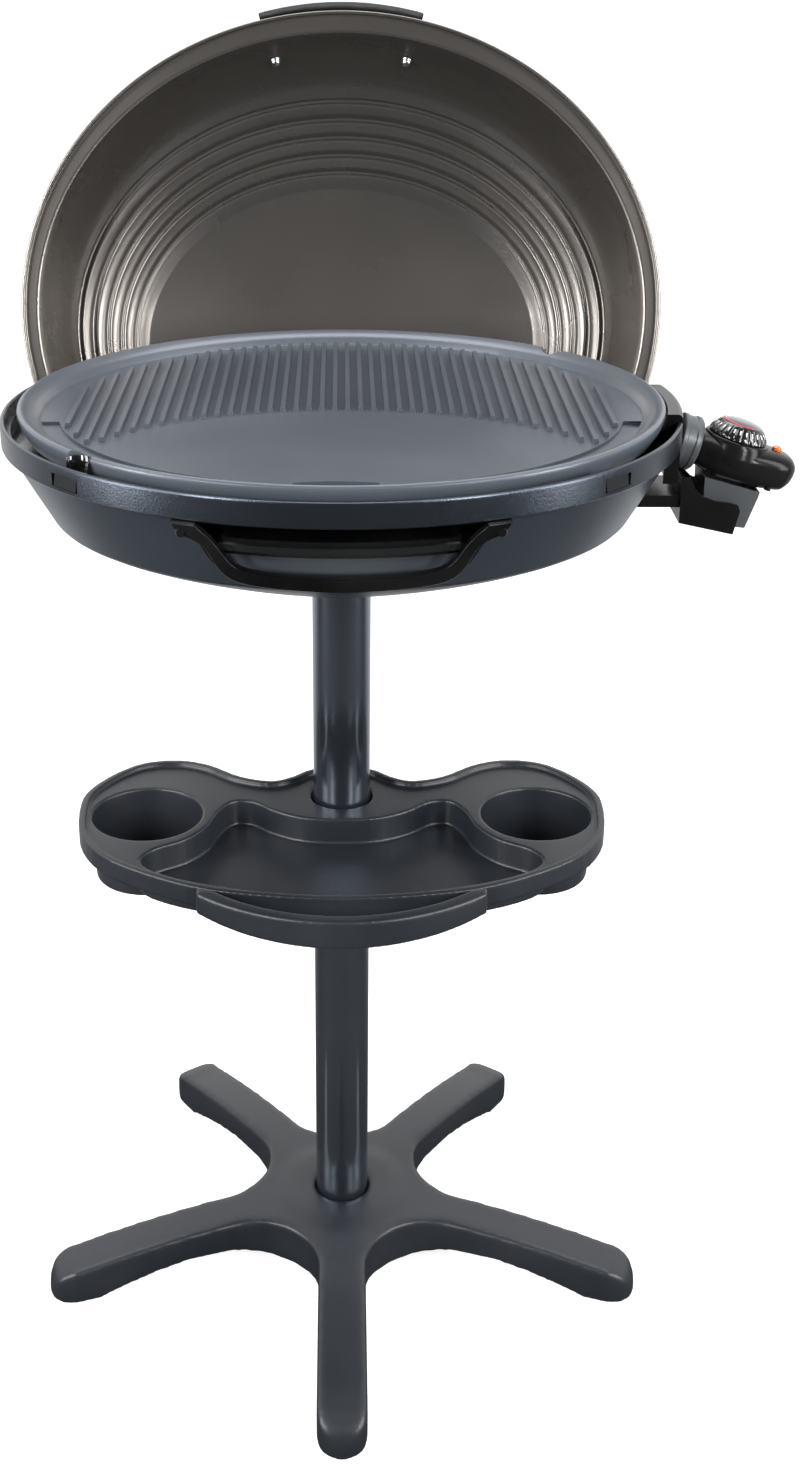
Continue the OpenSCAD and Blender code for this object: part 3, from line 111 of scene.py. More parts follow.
def finish(name, colour, rough, metallic=0.0, coat=0.0, coat_rough=0.1, spec=0.5,
           mottle=0.08, mottle_scale=9.0, grain=0.0, grain_scale=900.0):
    """A material with cloudy colour, a little uneven gloss and, if asked, fine grain."""
    mat = bpy.data.materials.new(name)
    mat.use_nodes = True
    nodes, links = mat.node_tree.nodes, mat.node_tree.links
    shader = nodes["Principled BSDF"]
    shader.inputs["Metallic"].default_value = metallic
    shader.inputs["Coat Weight"].default_value = coat
    shader.inputs["Coat Roughness"].default_value = coat_rough
    shader.inputs["Specular IOR Level"].default_value = spec
    place = nodes.new("ShaderNodeTexCoord")
    cloud = noise(nodes, links, place, mottle_scale, CLOUD_DETAIL)
    ramp = nodes.new("ShaderNodeValToRGB")
    base = linear(colour)
    low, high = ramp.color_ramp.elements
    low.position, high.position = CLOUD_LOW, CLOUD_HIGH
    low.color = mixed(base, BLACK, mottle)
    high.color = mixed(base, WHITE, mottle * CLOUD_LIFT)
    links.new(cloud.outputs["Fac"], ramp.inputs["Fac"])
    links.new(ramp.outputs["Color"], shader.inputs["Base Color"])
    gloss = nodes.new("ShaderNodeMapRange")
    gloss.inputs["To Min"].default_value = max(GLOSS_LEAST, rough - GLOSS_SPREAD)
    gloss.inputs["To Max"].default_value = min(1.0, rough + GLOSS_SPREAD)
    links.new(cloud.outputs["Fac"], gloss.inputs["Value"])
    links.new(gloss.outputs["Result"], shader.inputs["Roughness"])
    if grain:
        speck = noise(nodes, links, place, grain_scale, GRAIN_DETAIL)
        bump = nodes.new("ShaderNodeBump")
        bump.inputs["Strength"].default_value = grain
        bump.inputs["Distance"].default_value = GRAIN_DEPTH
        links.new(speck.outputs["Fac"], bump.inputs["Height"])
        links.new(bump.outputs["Normal"], shader.inputs["Normal"])
    return mat


MATERIALS = {
    "base_plastic": finish("base_plastic", "#181c22", 0.38, grain=0.25, spec=0.5),
    "tube_paint": finish("tube_paint", "#767e88", 0.17, metallic=0.95, spec=0.5),
    "rubber": finish("rubber", "#0f1011", 0.7, grain=0.2, spec=0.3),
    "bowl_paint": finish("bowl_paint", "#515962", 0.34, metallic=0.8, spec=0.6,
                         grain=0.3, grain_scale=600),
    "rim_paint": finish("rim_paint", "#40464e", 0.28, metallic=0.9, spec=0.6,
                        grain=0.25, grain_scale=600),
    "plate_coat": finish("plate_coat", "#555b64", 0.33, metallic=0.35, spec=0.8,
                         grain=0.15, grain_scale=700),
    "lid_paint": finish("lid_paint", "#77736f", 0.27, metallic=0.9, spec=0.5,
                        mottle=0.04, mottle_scale=5, grain=0.06, grain_scale=1500),
    "black_plastic": finish("black_plastic", "#050506", 0.2, grain=0.05, spec=0.14),
    "gloss_black": finish("gloss_black", "#0b0c0d", 0.14, coat=0.5, coat_rough=0.06),
    "grey_metal": finish("grey_metal", "#4e5154", 0.35, metallic=0.3),
    "steel": finish("steel", "#a9abad", 0.28, metallic=1.0),
    "reflector": finish("reflector", "#c9cbcc", 0.25, metallic=1.0),
    "contact_brass": finish("contact_brass", "#b8955a", 0.3, metallic=1.0),
    "lamp_orange": finish("lamp_orange", "#d8641a", 0.18, coat=0.6, coat_rough=0.05),
    "switch_body": finish("switch_body", "#c8b58a", 0.6),
}
BLACK_STEEL = finish("black_steel", "#17181a", 0.3, metallic=0.6)
# Painted light: a lighter, less metallic copy of the bowl paint for the recess panel, standing in for the light
# caught in the finger recess.
LIT_RECESS_PAINT = finish("lit_recess_paint", "#535960", 0.3, metallic=0.2, grain=0.1)
MARK_WHITE = finish("mark_white", "#e8e8e8", 0.4)
MARK_RED = finish("mark_red", "#c01636", 0.35)


def dress_cad():
    """Each CAD node gets its slot's material; the screws and clips are black steel."""
    for node, slot in SLOT_OF.items():
        data = NODES[node].data
        data.materials.clear()
        data.materials.append(BLACK_STEEL if node in DARK_NODES else MATERIALS[slot])


# ------------------------------------------------------------------ mesh tools
WELD = 2e-5
FLAT_ANGLE = 0.6
SHARP_ANGLE = 60
NORMAL_WEIGHT = 80
SMOOTH_FACTOR = 0.5
BREAK_SEGMENTS, BREAK_ANGLE = 2, 32


def new_piece(name, verts, faces, slot, node, material=None):
    """A smooth-shaded piece that rides with a CAD node's body."""
    mesh = bpy.data.meshes.new(name)
    mesh.from_pydata([tuple(v) for v in verts], [], faces)
    mesh.validate()
    obj = bpy.data.objects.new(name, mesh)
    bpy.context.collection.objects.link(obj)
    mesh.materials.append(material or MATERIALS[slot])
    mesh.shade_smooth()
    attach(obj, BODY_OF[node])
    return obj


def applied(obj, kind, **settings):
    """Adds one modifier, sets it and applies it."""
    mod = obj.modifiers.new(kind.lower(), kind)
    for key, value in settings.items():
        setattr(mod, key, value)
    with bpy.context.temp_override(object=obj, active_object=obj):
        bpy.ops.object.modifier_apply(modifier=mod.name)


def linked(name, form):
    """A new object from a bmesh, which is freed."""
    mesh = bpy.data.meshes.new(name)
    form.to_mesh(mesh)
    form.free()
    obj = bpy.data.objects.new(name, mesh)
    bpy.context.collection.objects.link(obj)
    return obj


def painted(obj, slot):
    """Gives a mesh its slot's material and smooth shading."""
    mesh = obj.data
    mesh.materials.clear()
    mesh.materials.append(MATERIALS[slot])
    mesh.shade_smooth()


def crisp(obj):
    """Keeps flat faces flat in the shading, beside their broken edges."""
    obj.data.set_sharp_from_angle(angle=math.radians(SHARP_ANGLE))
    applied(obj, "WEIGHTED_NORMAL", mode="FACE_AREA", weight=NORMAL_WEIGHT)


def soften(name, nodes, voxel, rounds, keep=0.3, ceiling=0.0):
    """One soft-edged moulding in place of CAD nodes: remeshed, smoothed and thinned out.

    A ceiling presses what stands above it flat.
    """
    form = bmesh.new()
    for node in nodes:
        form.from_mesh(NODES[node].data)
    if ceiling:
        for vert in form.verts:
            vert.co.z = min(vert.co.z, ceiling)
    obj = linked(name, form)
    applied(obj, "REMESH", mode="VOXEL", voxel_size=voxel, adaptivity=0)
    applied(obj, "SMOOTH", factor=SMOOTH_FACTOR, iterations=rounds)
    applied(obj, "DECIMATE", ratio=keep)
    slot = SLOT_OF[nodes[0]]
    painted(obj, slot)
    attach(obj, BODY_OF[nodes[0]])
    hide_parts(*nodes)
    return obj


def bevelled(name, node, width):
    """A CAD node's own form with its edges broken by a small radius."""
    form = bmesh.new()
    form.from_mesh(NODES[node].data)
    bmesh.ops.remove_doubles(form, verts=form.verts, dist=WELD)
    bmesh.ops.dissolve_limit(form, angle_limit=math.radians(FLAT_ANGLE), verts=form.verts,
                             edges=form.edges)
    obj = linked(name, form)
    applied(obj, "BEVEL", width=width, segments=BREAK_SEGMENTS, limit_method="ANGLE",
            angle_limit=math.radians(BREAK_ANGLE), harden_normals=False,
            use_clamp_overlap=True)
    painted(obj, SLOT_OF[node])
    crisp(obj)
    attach(obj, BODY_OF[node])
    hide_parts(node)


def rounded_path(points, times=2):
    """Cuts the corners of an open path, keeping its two ends."""
    for _ in range(times):
        out = [points[0]]
        for a, b in zip(points, points[1:]):
            a, b = np.array(a, float), np.array(b, float)
            out += [a * 0.75 + b * 0.25, a * 0.25 + b * 0.75]
        points = out + [points[-1]]
    return [np.array(p, float) for p in points]


def spaced(points, count):
    """An open path, its corners cut, as points at equal steps."""
    points = np.array(rounded_path(points, 2))
    run = np.concatenate([[0], np.cumsum(np.hypot(*np.diff(points, axis=0).T))])
    at = np.linspace(0, run[-1], count)
    return [(np.interp(t, run, points[:, 0]), np.interp(t, run, points[:, 1])) for t in at]


def skin(rows, steps, turned=False):
    """Faces of a closed skin over rows of points, with a cap at each end."""
    faces = []
    for j in range(rows - 1):
        for i in range(steps):
            k = (i + 1) % steps
            a, b, c, d = j * steps + i, j * steps + k, (j + 1) * steps + k, (j + 1) * steps + i
            faces.append((a, d, c, b) if turned else (a, b, c, d))
    first = list(range(steps))
    last = [(rows - 1) * steps + i for i in first]
    if turned:
        return faces + [tuple(first), tuple(reversed(last))]
    return faces + [tuple(reversed(first)), tuple(last)]


def lathe(profile, steps, at, wave=None):
    """Turns [radius, height] points about a local Z axis; wave(angle, height) trims a radius."""
    verts = []
    for r, h in profile:
        for i in range(steps):
            t = 2 * math.pi * i / steps
            radius = max(r - (wave(t, h) if wave else 0), 0) * MM
            verts.append(at @ Vector((radius * math.cos(t), radius * math.sin(t), h * MM)))
    return verts, skin(len(profile), steps)


def add_part(verts, faces, part, turned=False):
    """Adds a part's points and faces to those of a piece; turned flips the faces over."""
    shift = len(verts)
    verts += part[0]
    for face in part[1]:
        moved = [v + shift for v in face]
        faces.append(tuple(reversed(moved)) if turned else tuple(moved))


# ------------------------------------------------------------------ base, tray and rail
HUB_TOP = 0.0656
RAIL_HALF, RAIL_H = 0.117, 0.017
RAIL_DROP, RAIL_SAG = 0.002, 0.006


def deepen(obj):
    """The rail's bow hangs deeper in its middle than at its ends."""
    top = max(vert.co.z for vert in obj.data.vertices)
    for vert in obj.data.vertices:
        low = min(1.0, max(0.0, (top - vert.co.z) / RAIL_H))
        middle = max(0.0, 1 - (vert.co.x / RAIL_HALF) ** 2)
        vert.co.z -= low * (RAIL_DROP + RAIL_SAG * middle)


# ------------------------------------------------------------------ lid
RIM_Z = 0.8473
LID_W, LID_FRONT, LID_REAR = 602.0, 282.0, 260.0
LID_FLANGE, LID_DEPTH, LID_T = 16.0, 108.0, 1.5
LID_LEAN = 13.5
LID_Y, LID_ABOVE_RIM = 262.0, 10
LID_STEPS = 256
AT_LID = (Matrix.Translation((0, LID_Y * MM, RIM_Z + LID_ABOVE_RIM * MM))
          @ Matrix.Rotation(math.radians(-90 - LID_LEAN), 4, "X"))

# Sections of the lid's inside: how far in from its edge at the sides, front and rear, then
# the depth in mm (mouth), its share of the lid's depth (wall) or mm short of it (crown).
LID_MOUTH = ((LID_FLANGE, LID_FLANGE + 3, LID_FLANGE - 1, 0),
             (LID_FLANGE + 2, LID_FLANGE + 5, LID_FLANGE + 1, 5))
LID_WALL = ((21, 27, 20, 0.28), (27, 39, 24, 0.48), (34, 53, 29, 0.64))
LID_CROWN = ((104, 145, 83, 2), (109, 150, 88, 0))
# The stepped rings: place of the first, way to the last, and the steps of one ring as
# [inwards, short of its depth].
RING_COUNT, RING_H, RING_LIP = 5, 3.4, 1.2
RING_FIRST, RING_WAY = (40, 66.5, 34), (53, 64.5, 42)
RING_DEPTH, RING_DEEPER, RING_BEND = 0.74, 0.22, 0.8
RING_STEPS = ((0, RING_H), (1.2, 0), (4.2, 0), (5.0, RING_LIP))
# The lid's edge as [outwards, up] from its outline: outside, rolled lip and inside.
EDGE_OUTSIDE = ((0, -2.4), (0, 1.2), (-1.2, LID_T + 0.6))
EDGE_LIP = ((0, -2.4), (-0.6, -3.4), (-2.6, -3.4), (-3.2, -2.4))
EDGE_INSIDE = ((-3.2, -2.4), (-3.2, -0.6), (-4.2, 0))
# The wall's thickness outside each section, as [outwards, up].
FLANGE_SKIN = (LID_T + 0.5, LID_T)
WALL_SKIN = (LID_T, LID_T * 0.3)
CURVE_SKIN = (LID_T, LID_T * 0.9)
RING_SKIN = (LID_T * 0.5, LID_T * 0.9)
WALL_SECTIONS = 3


def lid_rings():
    """Sections of the lid's inside as [half width, front, rear, depth]."""
    a, f, r, d = LID_W / 2, LID_FRONT, LID_REAR, LID_DEPTH
    rings = [(a - side, f - front, r - rear, depth) for side, front, rear, depth in LID_MOUTH]
    rings += [(a - side, f - front, r - rear, d * share)
              for side, front, rear, share in LID_WALL]
    for k in range(RING_COUNT):
        u = k / (RING_COUNT - 1)
        depth = d * RING_DEPTH + d * RING_DEEPER * u ** RING_BEND
        for inward, short in RING_STEPS:
            half, front, rear = (full - first - way * u - inward for full, first, way
                                 in zip((a, f, r), RING_FIRST, RING_WAY))
            rings.append((half, front, rear, depth - short))
    rings += [(a - side, f - front, r - rear, d - short)
              for side, front, rear, short in LID_CROWN]
    return rings


def moved(ring, out, up):
    """A section pushed outwards all round, and up."""
    return (ring[0] + out, ring[1] + out, ring[2] + out, ring[3] + up)


def lid_skin(index):
    """The wall's thickness outside a section."""
    if index <= WALL_SECTIONS:
        return WALL_SKIN
    return CURVE_SKIN if index == WALL_SECTIONS + 1 else RING_SKIN


def lid_shell():
    """The lid's thin dome with its rolled edge, stepped rings and flat crown."""
    rings = lid_rings()
    edge = (LID_W / 2, LID_FRONT, LID_REAR, 0)
    outer = [moved(edge, *step) for step in EDGE_OUTSIDE] + [moved(rings[0], *FLANGE_SKIN)]
    outer += [moved(ring, *lid_skin(i)) for i, ring in enumerate(rings) if i]
    inner = [moved(edge, *step) for step in EDGE_INSIDE] + [rings[0]]
    lip = [moved(edge, *step) for step in EDGE_LIP]
    wall = len(LID_MOUTH) + len(LID_WALL)
    profile = (list(reversed(rounded_path(outer))) + rounded_path(lip, 1)[1:-1]
               + rounded_path(inner, 1) + rounded_path(rings[:wall + 1], 3)[1:-1]
               + rounded_path(rings[wall:], 1))
    verts = []
    for half, front, rear, depth in profile:
        for i in range(LID_STEPS):
            t = 2 * math.pi * i / LID_STEPS
            y = (rear - front) / 2 + (front + rear) / 2 * math.sin(t)
            verts.append(AT_LID @ Vector((half * math.cos(t) * MM, y * MM, depth * MM)))
    faces = skin(len(profile), LID_STEPS, turned=True)
    obj = new_piece("lid_dome", verts, faces, "lid_paint", "lid_shell")
    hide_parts("lid_shell")


NUT_X, NUT_Y, NUT_UP = 62.0, -244.1, 38.9
NUT_TILT, NUT_TURN = 27, 11
NUT_PROFILE = [(0, -5.9), (2.4, -5.4), (3.9, -4.2), (4.6, -2.4), (4.9, -0.2), (6.2, 0.2),
               (6.2, 1.2), (0, 1.2)]
NUT_STEPS = 28


def dome_nuts():
    """Short domed nuts on the lid's wall in place of the long ones."""
    verts, faces = [], []
    for side in (-1, 1):
        at = (AT_LID @ Matrix.Translation((side * NUT_X * MM, NUT_Y * MM, NUT_UP * MM))
              @ Matrix.Rotation(math.radians(side * NUT_TURN), 4, "Z")
              @ Matrix.Rotation(math.radians(90 - NUT_TILT), 4, "X"))
        add_part(verts, faces, lathe(NUT_PROFILE, NUT_STEPS, at))
    obj = new_piece("dome_nuts", verts, faces, "steel", "lid_nuts")
    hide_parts("lid_nuts")


# ------------------------------------------------------------------ thermostat
BODY_Z0, HOUSING_LEN, HOUSING_W, HOUSING_H = 17.3, 86.0, 56.0, 33.0
BODY_Z1 = BODY_Z0 + HOUSING_LEN
TOP_H = HOUSING_H * 0.42
LOW_H = HOUSING_H - TOP_H
HOUSING_STEPS, SQUARENESS = 96, 0.74
END_BREAK = 0.8
# Along the plug, as [place, share]: of the half width, of the top's height and of the belly's.
PLAN = [(BODY_Z0, .74), (BODY_Z0 + 7, .8), (BODY_Z0 + 14, .94), (BODY_Z0 + 22, .99),
        (BODY_Z0 + 31, 1), (BODY_Z0 + 45, .99), (BODY_Z0 + 58, .91), (BODY_Z1 - 16, .79),
        (BODY_Z1 - 8, .62), (BODY_Z1 - 3, .42), (BODY_Z1 - 1, .26), (BODY_Z1, .12)]
ROOF = [(BODY_Z0, .9), (BODY_Z0 + 6, 1), (BODY_Z1 - 22, 1), (BODY_Z1 - 12, .94),
        (BODY_Z1 - 5, .75), (BODY_Z1 - 1, .35), (BODY_Z1, .05)]
KEEL = [(BODY_Z0, .7), (BODY_Z0 + 6, .85), (BODY_Z0 + 20, 1), (BODY_Z0 + 60, 1),
        (BODY_Z1 - 9, .9), (BODY_Z1 - 3, .6), (BODY_Z1, .15)]
FACE_CUT, LONG_FROM, LONG_CUTS = 0.6, 2, 34
NOSE, NOSE_FROM, NOSE_CUTS = 10, 0.1, 14
TURRET = [(22, 0), (25.8, -0.2), (26.5, -1), (27.2, -4), (29.4, -11), (30.2, -15), (28, -20)]
TURRET_RISE, DIAL_RISE = 1.5, 1.8
HOUSING_SHARP = 50
DIAL_Z = BODY_Z0 + 31
DIAL_R, DIAL_H = 24.5, 14.0
FLUTES, FLUTE_CUTS, FLUTE_DEPTH = 26, 12, 0.75
FLUTE_FOOT, FLUTE_TOP = 0.3, 11.5
DIAL_SIDE = [(0, 0), (DIAL_R - 0.4, 0), (DIAL_R, 0.4), (DIAL_R, 1.2), (DIAL_R - 0.5, 3),
             (DIAL_R - 1.6, 5), (DIAL_R - 3.6, 7.4), (DIAL_R - 5.6, 9.6),
             (DIAL_R - 7.2, 11.2), (DIAL_R - 8, 11.7), (DIAL_R - 9, 12),
             (DIAL_R - 10.5, 12.4), (DIAL_R - 14, 13.4), (DIAL_R - 19, DIAL_H - 0.1),
             (0, DIAL_H)]
# Printed marks, as [radius, height] on the dial's side; angles in degrees.
TICK_LOW, TICK_HIGH = (DIAL_R - 2.1, 6.1), (DIAL_R - 4.6, 9.0)
TICK_HALF, TICK_TURN = 0.5, 140
TICK_FIRST, TICK_END = 2, FLUTES - 3
ARC_FROM, ARC_SWEEP, ARC_STEPS = 150, 150, 40
ARC_R, ARC_H = DIAL_R - 8.3, 12.0
ARC_WIDTH, ARC_SWELL, ARC_RISE = 0.5, 0.9, 0.28
ARC_LIFT = 0.05
FILM = 0.00025


def plug_frame():
    """The plug's frame: z outwards along the plug, -x up, y across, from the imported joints."""
    joints = {j["name"]: j for j in frame["joints"]}
    out = Vector(joints["thermostat_unplug"]["axis"]).normalized()
    origin = Vector(joints["dial_turn"]["pos_m"]) - out * DIAL_Z * MM
    down = Vector(joints["dial_turn"]["axis"]).normalized()
    across = out.cross(down)
    m = Matrix((down, across, out)).transposed().to_4x4()
    m.translation = origin
    return m


def on_top(rise):
    """A frame on the housing's top under the dial, z upwards."""
    return plug_frame() @ Matrix.Translation((-(TOP_H + rise) * MM, 0, DIAL_Z * MM)) \
        @ Matrix.Rotation(math.radians(-90), 4, "Y")


def along(stations, curve, scale):
    """A curve's shares at the stations, scaled and smoothed, with its first one drawn in."""
    values = np.interp(stations, [c[0] for c in curve], [c[1] for c in curve]) * scale
    for _ in range(3):
        values[1:-1] = (values[:-2] + 2 * values[1:-1] + values[2:]) / 4
    values[0] -= END_BREAK
    return values


def housing():
    """The plug's rounded body and the turret that carries the dial."""
    at = plug_frame()
    stations = np.concatenate([
        [BODY_Z0, BODY_Z0 + FACE_CUT],
        np.linspace(BODY_Z0 + LONG_FROM, BODY_Z1 - NOSE, LONG_CUTS),
        BODY_Z1 - NOSE * (1 - np.sin(np.linspace(NOSE_FROM, 1, NOSE_CUTS) * np.pi / 2))])
    wide = along(stations, PLAN, HOUSING_W / 2)
    top = along(stations, ROOF, TOP_H)
    low = along(stations, KEEL, LOW_H)
    verts = []
    for z, a, t, b in zip(stations, wide, top, low):
        for i in range(HOUSING_STEPS):
            u = 2 * math.pi * i / HOUSING_STEPS
            c, s = math.cos(u), math.sin(u)
            y = a * math.copysign(abs(c) ** SQUARENESS, c)
            x = -(t if s > 0 else b) * math.copysign(abs(s) ** SQUARENESS, s)
            verts.append(at @ (Vector((x, y, z)) * MM))
    faces = skin(len(stations), HOUSING_STEPS)
    turret = lathe(TURRET, HOUSING_STEPS, on_top(TURRET_RISE))
    add_part(verts, faces, turret, turned=True)
    obj = new_piece("control_housing", verts, faces, "black_plastic", "housing_upper")
    obj.data.set_sharp_from_angle(angle=math.radians(HOUSING_SHARP))
    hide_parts("housing_upper", "housing_lower")


def flute(t, h):
    """How deep a flute cuts into the dial's skirt at an angle and height."""
    if not FLUTE_FOOT < h < FLUTE_TOP:
        return 0
    return (FLUTE_DEPTH * max(0.0, math.cos(FLUTES * t)) ** 3
            * math.sin(math.pi * h / FLUTE_TOP))


def dial():
    """Knob with a fluted skirt, white ticks and a red arc, on the turret's top."""
    at = on_top(DIAL_RISE)
    verts, faces = lathe(rounded_path(DIAL_SIDE, 1), FLUTES * FLUTE_CUTS, at, flute)
    obj = new_piece("dial_knob", verts, faces, "gloss_black", "dial")
    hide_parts("dial")
    dial_ticks(at)
    dial_arc(at)


def dial_ticks(at):
    marks, panes = [], []
    for k in range(TICK_FIRST, TICK_END):
        t = 2 * math.pi * (k + 0.5) / FLUTES + math.radians(TICK_TURN)
        for (r, h), sign in ((TICK_LOW, -1), (TICK_LOW, 1), (TICK_HIGH, 1), (TICK_HIGH, -1)):
            x = r * math.cos(t) - sign * TICK_HALF * math.sin(t)
            y = r * math.sin(t) + sign * TICK_HALF * math.cos(t)
            marks.append(at @ (Vector((x, y, h)) * MM))
        panes.append(tuple(range(len(marks) - 4, len(marks))))
    thicken(new_piece("dial_ticks", marks, panes, None, "dial", MARK_WHITE))


def dial_arc(at):
    """The red arc round the dial's top, widest in its middle."""
    arc, quads = [], []
    for i in range(ARC_STEPS + 1):
        t = math.radians(ARC_FROM + ARC_SWEEP * i / ARC_STEPS)
        swell = ARC_WIDTH + ARC_SWELL * math.sin(math.pi * (i / ARC_STEPS))
        for r, h in ((ARC_R, ARC_H), (ARC_R - swell, ARC_H + ARC_LIFT + swell * ARC_RISE)):
            arc.append(at @ (Vector((r * math.cos(t), r * math.sin(t), h)) * MM))
        if i:
            n = len(arc)
            quads.append((n - 4, n - 2, n - 1, n - 3))
    thicken(new_piece("dial_arc", arc, quads, None, "dial", MARK_RED))


def thicken(obj):
    """A printed mark becomes a closed film."""
    applied(obj, "SOLIDIFY", thickness=FILM, offset=0)


# ------------------------------------------------------------------ carry handles
# The bowl's depth over its width, and its skin from the band's lower edge (neck) to its knee.
BOWL_RATIO = 505 / 550
BAND_Z = 827.3
NECK_R, KNEE_R, KNEE_DROP = 270.0, 238.5, 56.5
# Half outline of a carry handle from its ear to its middle: [x, depth below the band].
HANDLE_OUTER = [(121, 0), (119, 6), (113, 11.5), (104, 14.5), (97.5, 20), (93, 29), (89, 38),
                (83, 45.5), (75, 50), (60, 52.5), (30, 54.3), (0, 55)]
HANDLE_INNER = [(103, 0), (101, 2.5), (95, 8), (89, 15.5), (84, 24), (79.5, 32), (72, 37.5),
                (60, 40), (30, 42.3), (0, 43)]
# How far its outer and inner faces stand off the bowl's skin.
HANDLE_OUT, HANDLE_IN = 12.0, 0.6
HANDLE_CUTS = 40
HANDLE_BREAK, HANDLE_SEGMENTS, HANDLE_EDGE = 0.0022, 3, 50


def skin_y(x, drop, out):
    """Depth of the bowl's front skin, moved outwards, at x and a drop below the band."""
    radius = NECK_R - (NECK_R - KNEE_R) * drop / KNEE_DROP + out
    return -BOWL_RATIO * math.sqrt(radius * radius - x * x)


def carry_handle(name, node, side):
    """A glossy bow with S-shaped limbs, hung from two ears under the rim ring."""
    outer, inner = spaced(HANDLE_OUTER, HANDLE_CUTS), spaced(HANDLE_INNER, HANDLE_CUTS)
    last = 2 * HANDLE_CUTS - 2
    verts, faces = [], []
    for i in range(last + 1):
        sign, k = (1, i) if i < HANDLE_CUTS else (-1, last - i)
        for x, drop in (outer[k], inner[k]):
            for out in (HANDLE_OUT, HANDLE_IN):
                verts.append(Vector((sign * x, side * skin_y(x, drop, out), BAND_Z - drop)) * MM)
    for i in range(last):
        a, b = 4 * i, 4 * i + 4
        for p, q in ((0, 1), (1, 3), (3, 2), (2, 0)):
            faces.append((a + p, a + q, b + q, b + p))
    end = 4 * last
    faces += [(0, 2, 3, 1), (end, end + 1, end + 3, end + 2)]
    obj = new_piece(name, verts, faces, "black_plastic", node)
    applied(obj, "BEVEL", width=HANDLE_BREAK, segments=HANDLE_SEGMENTS, limit_method="ANGLE",
            angle_limit=math.radians(HANDLE_EDGE), use_clamp_overlap=True)
    crisp(obj)
    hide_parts(node)


# ------------------------------------------------------------------ recess and notches
# The lit recess panel, painted lighter for the light the shaded recess wall catches: its rows as
# [height, radius], its half length at the top row, how much shorter it gets at each end per mm further down, and
# its thickness.
RECESS_ROWS = [(806.0, 247.0), (800.0, 243.5), (792.0, 239.5), (784.0, 235.5), (779.0, 233.5)]
RECESS_HALF, RECESS_TAPER, RECESS_T = 87.0, 0.55, 1.2
RECESS_STEPS = 40
# The two finger notches: angle round the plate, distance from its middle, and the liner's
# section as [radius round the notch, height].
NOTCHES = (("notch_liner_rear", 41), ("notch_liner_front", 221))
NOTCH_OUT = 256
LINER = ((13.4, 836.5), (13.4, 852.2), (12.9, 853.0), (12.2, 852.4), (12.2, 836.5))
LINER_STEPS = 28


def lit_recess_panel():
    """Painted light: a lighter sheet of the finger recess's skin behind the front handle's bar, standing in for
    the light its shaded wall catches.
    """
    verts, faces = [], []
    for depth in (0.0, RECESS_T):
        for z, radius in RECESS_ROWS:
            reach = RECESS_HALF - (RECESS_ROWS[0][0] - z) * RECESS_TAPER
            for i in range(RECESS_STEPS + 1):
                x = -reach + 2 * reach * i / RECESS_STEPS
                y = -BOWL_RATIO * math.sqrt((radius - depth) ** 2 - x * x)
                verts.append(Vector((x, y, z)) * MM)
    rows, cols = len(RECESS_ROWS), RECESS_STEPS + 1
    count = rows * cols
    for j in range(rows - 1):
        for i in range(RECESS_STEPS):
            a = j * cols + i
            faces.append((a, a + cols, a + cols + 1, a + 1))
            faces.append((a + count, a + count + 1, a + count + cols + 1, a + count + cols))
    ring = (list(range(cols)) + [j * cols + RECESS_STEPS for j in range(1, rows)]
            + [(rows - 1) * cols + i for i in reversed(range(RECESS_STEPS))]
            + [j * cols for j in reversed(range(1, rows - 1))])
    for a, b in zip(ring, ring[1:] + ring[:1]):
        faces.append((a, b, b + count, a + count))
    new_piece("lit_recess_panel", verts, faces, None, "bowl_shell", LIT_RECESS_PAINT)


def notch_liners():
    """Glossy half-round walls of the two finger notches in the plate's rim."""
    for name, angle in NOTCHES:
        at = (Matrix.Rotation(math.radians(angle), 4, "Z")
              @ Matrix.Translation((NOTCH_OUT * MM, 0, 0)))
        verts, faces = [], []
        for i in range(LINER_STEPS + 1):
            t = math.radians(90 + 180 * i / LINER_STEPS)
            for radius, z in LINER:
                verts.append(at @ (Vector((radius * math.cos(t), radius * math.sin(t), z)) * MM))
        k = len(LINER)
        for i in range(LINER_STEPS):
            for j in range(k):
                a, b = i * k + j, i * k + (j + 1) % k
                faces.append((a, b, b + k, a + k))
        faces += [tuple(reversed(range(k))), tuple(LINER_STEPS * k + j for j in range(k))]
        new_piece(name, verts, faces, None, "grill_plate", MATERIALS["gloss_black"])


# ------------------------------------------------------------------ stage and light
ROOM_FILL, ROOM_FRONT, ROOM_BACK = 0.14, 0.03, 1.4
ROOM_SPAN = (-0.35, 0.75)
FLOOR_HALF, FLOOR_ROUGH = 30, 0.9
FLOOR_BASE, FLOOR_GLOSS, FLOOR_GLOW = 0.5, 0.03, 0.8
GLOSS_SPAN, FAR_SPAN = (0.1, 1.2), (0.3, 2.2)
# The colour sockets of a Mix node: its two inputs and its output.
MIX_A, MIX_B, MIX_OUT = 6, 7, 2
# Name, place, aim, size and power.
LIGHTS = (
    ("key_left", (-2.3, -0.9, 1.5), (0, 0, 0.8), (0.8, 2.6), 85),
    ("key_right", (2.3, -0.9, 1.5), (0, 0, 0.8), (0.8, 2.6), 80),
    ("lid_left", (-1.5, -1.9, 1.6), (0, 0.2, 0.95), (0.3, 1.1), 44),
    ("lid_right", (1.5, -1.9, 1.6), (0, 0.2, 0.95), (0.3, 1.1), 44),
    ("top", (0, 0.6, 3.2), (0, 0, 0.8), (2.8, 1.4), 60),
)


def seen_rays(nodes, links):
    """1 for the rays that show the backdrop itself, 0 for those that carry its light."""
    path = nodes.new("ShaderNodeLightPath")
    return maths(nodes, links, "MAXIMUM", path.outputs["Is Camera Ray"],
                 path.outputs["Is Transmission Ray"])


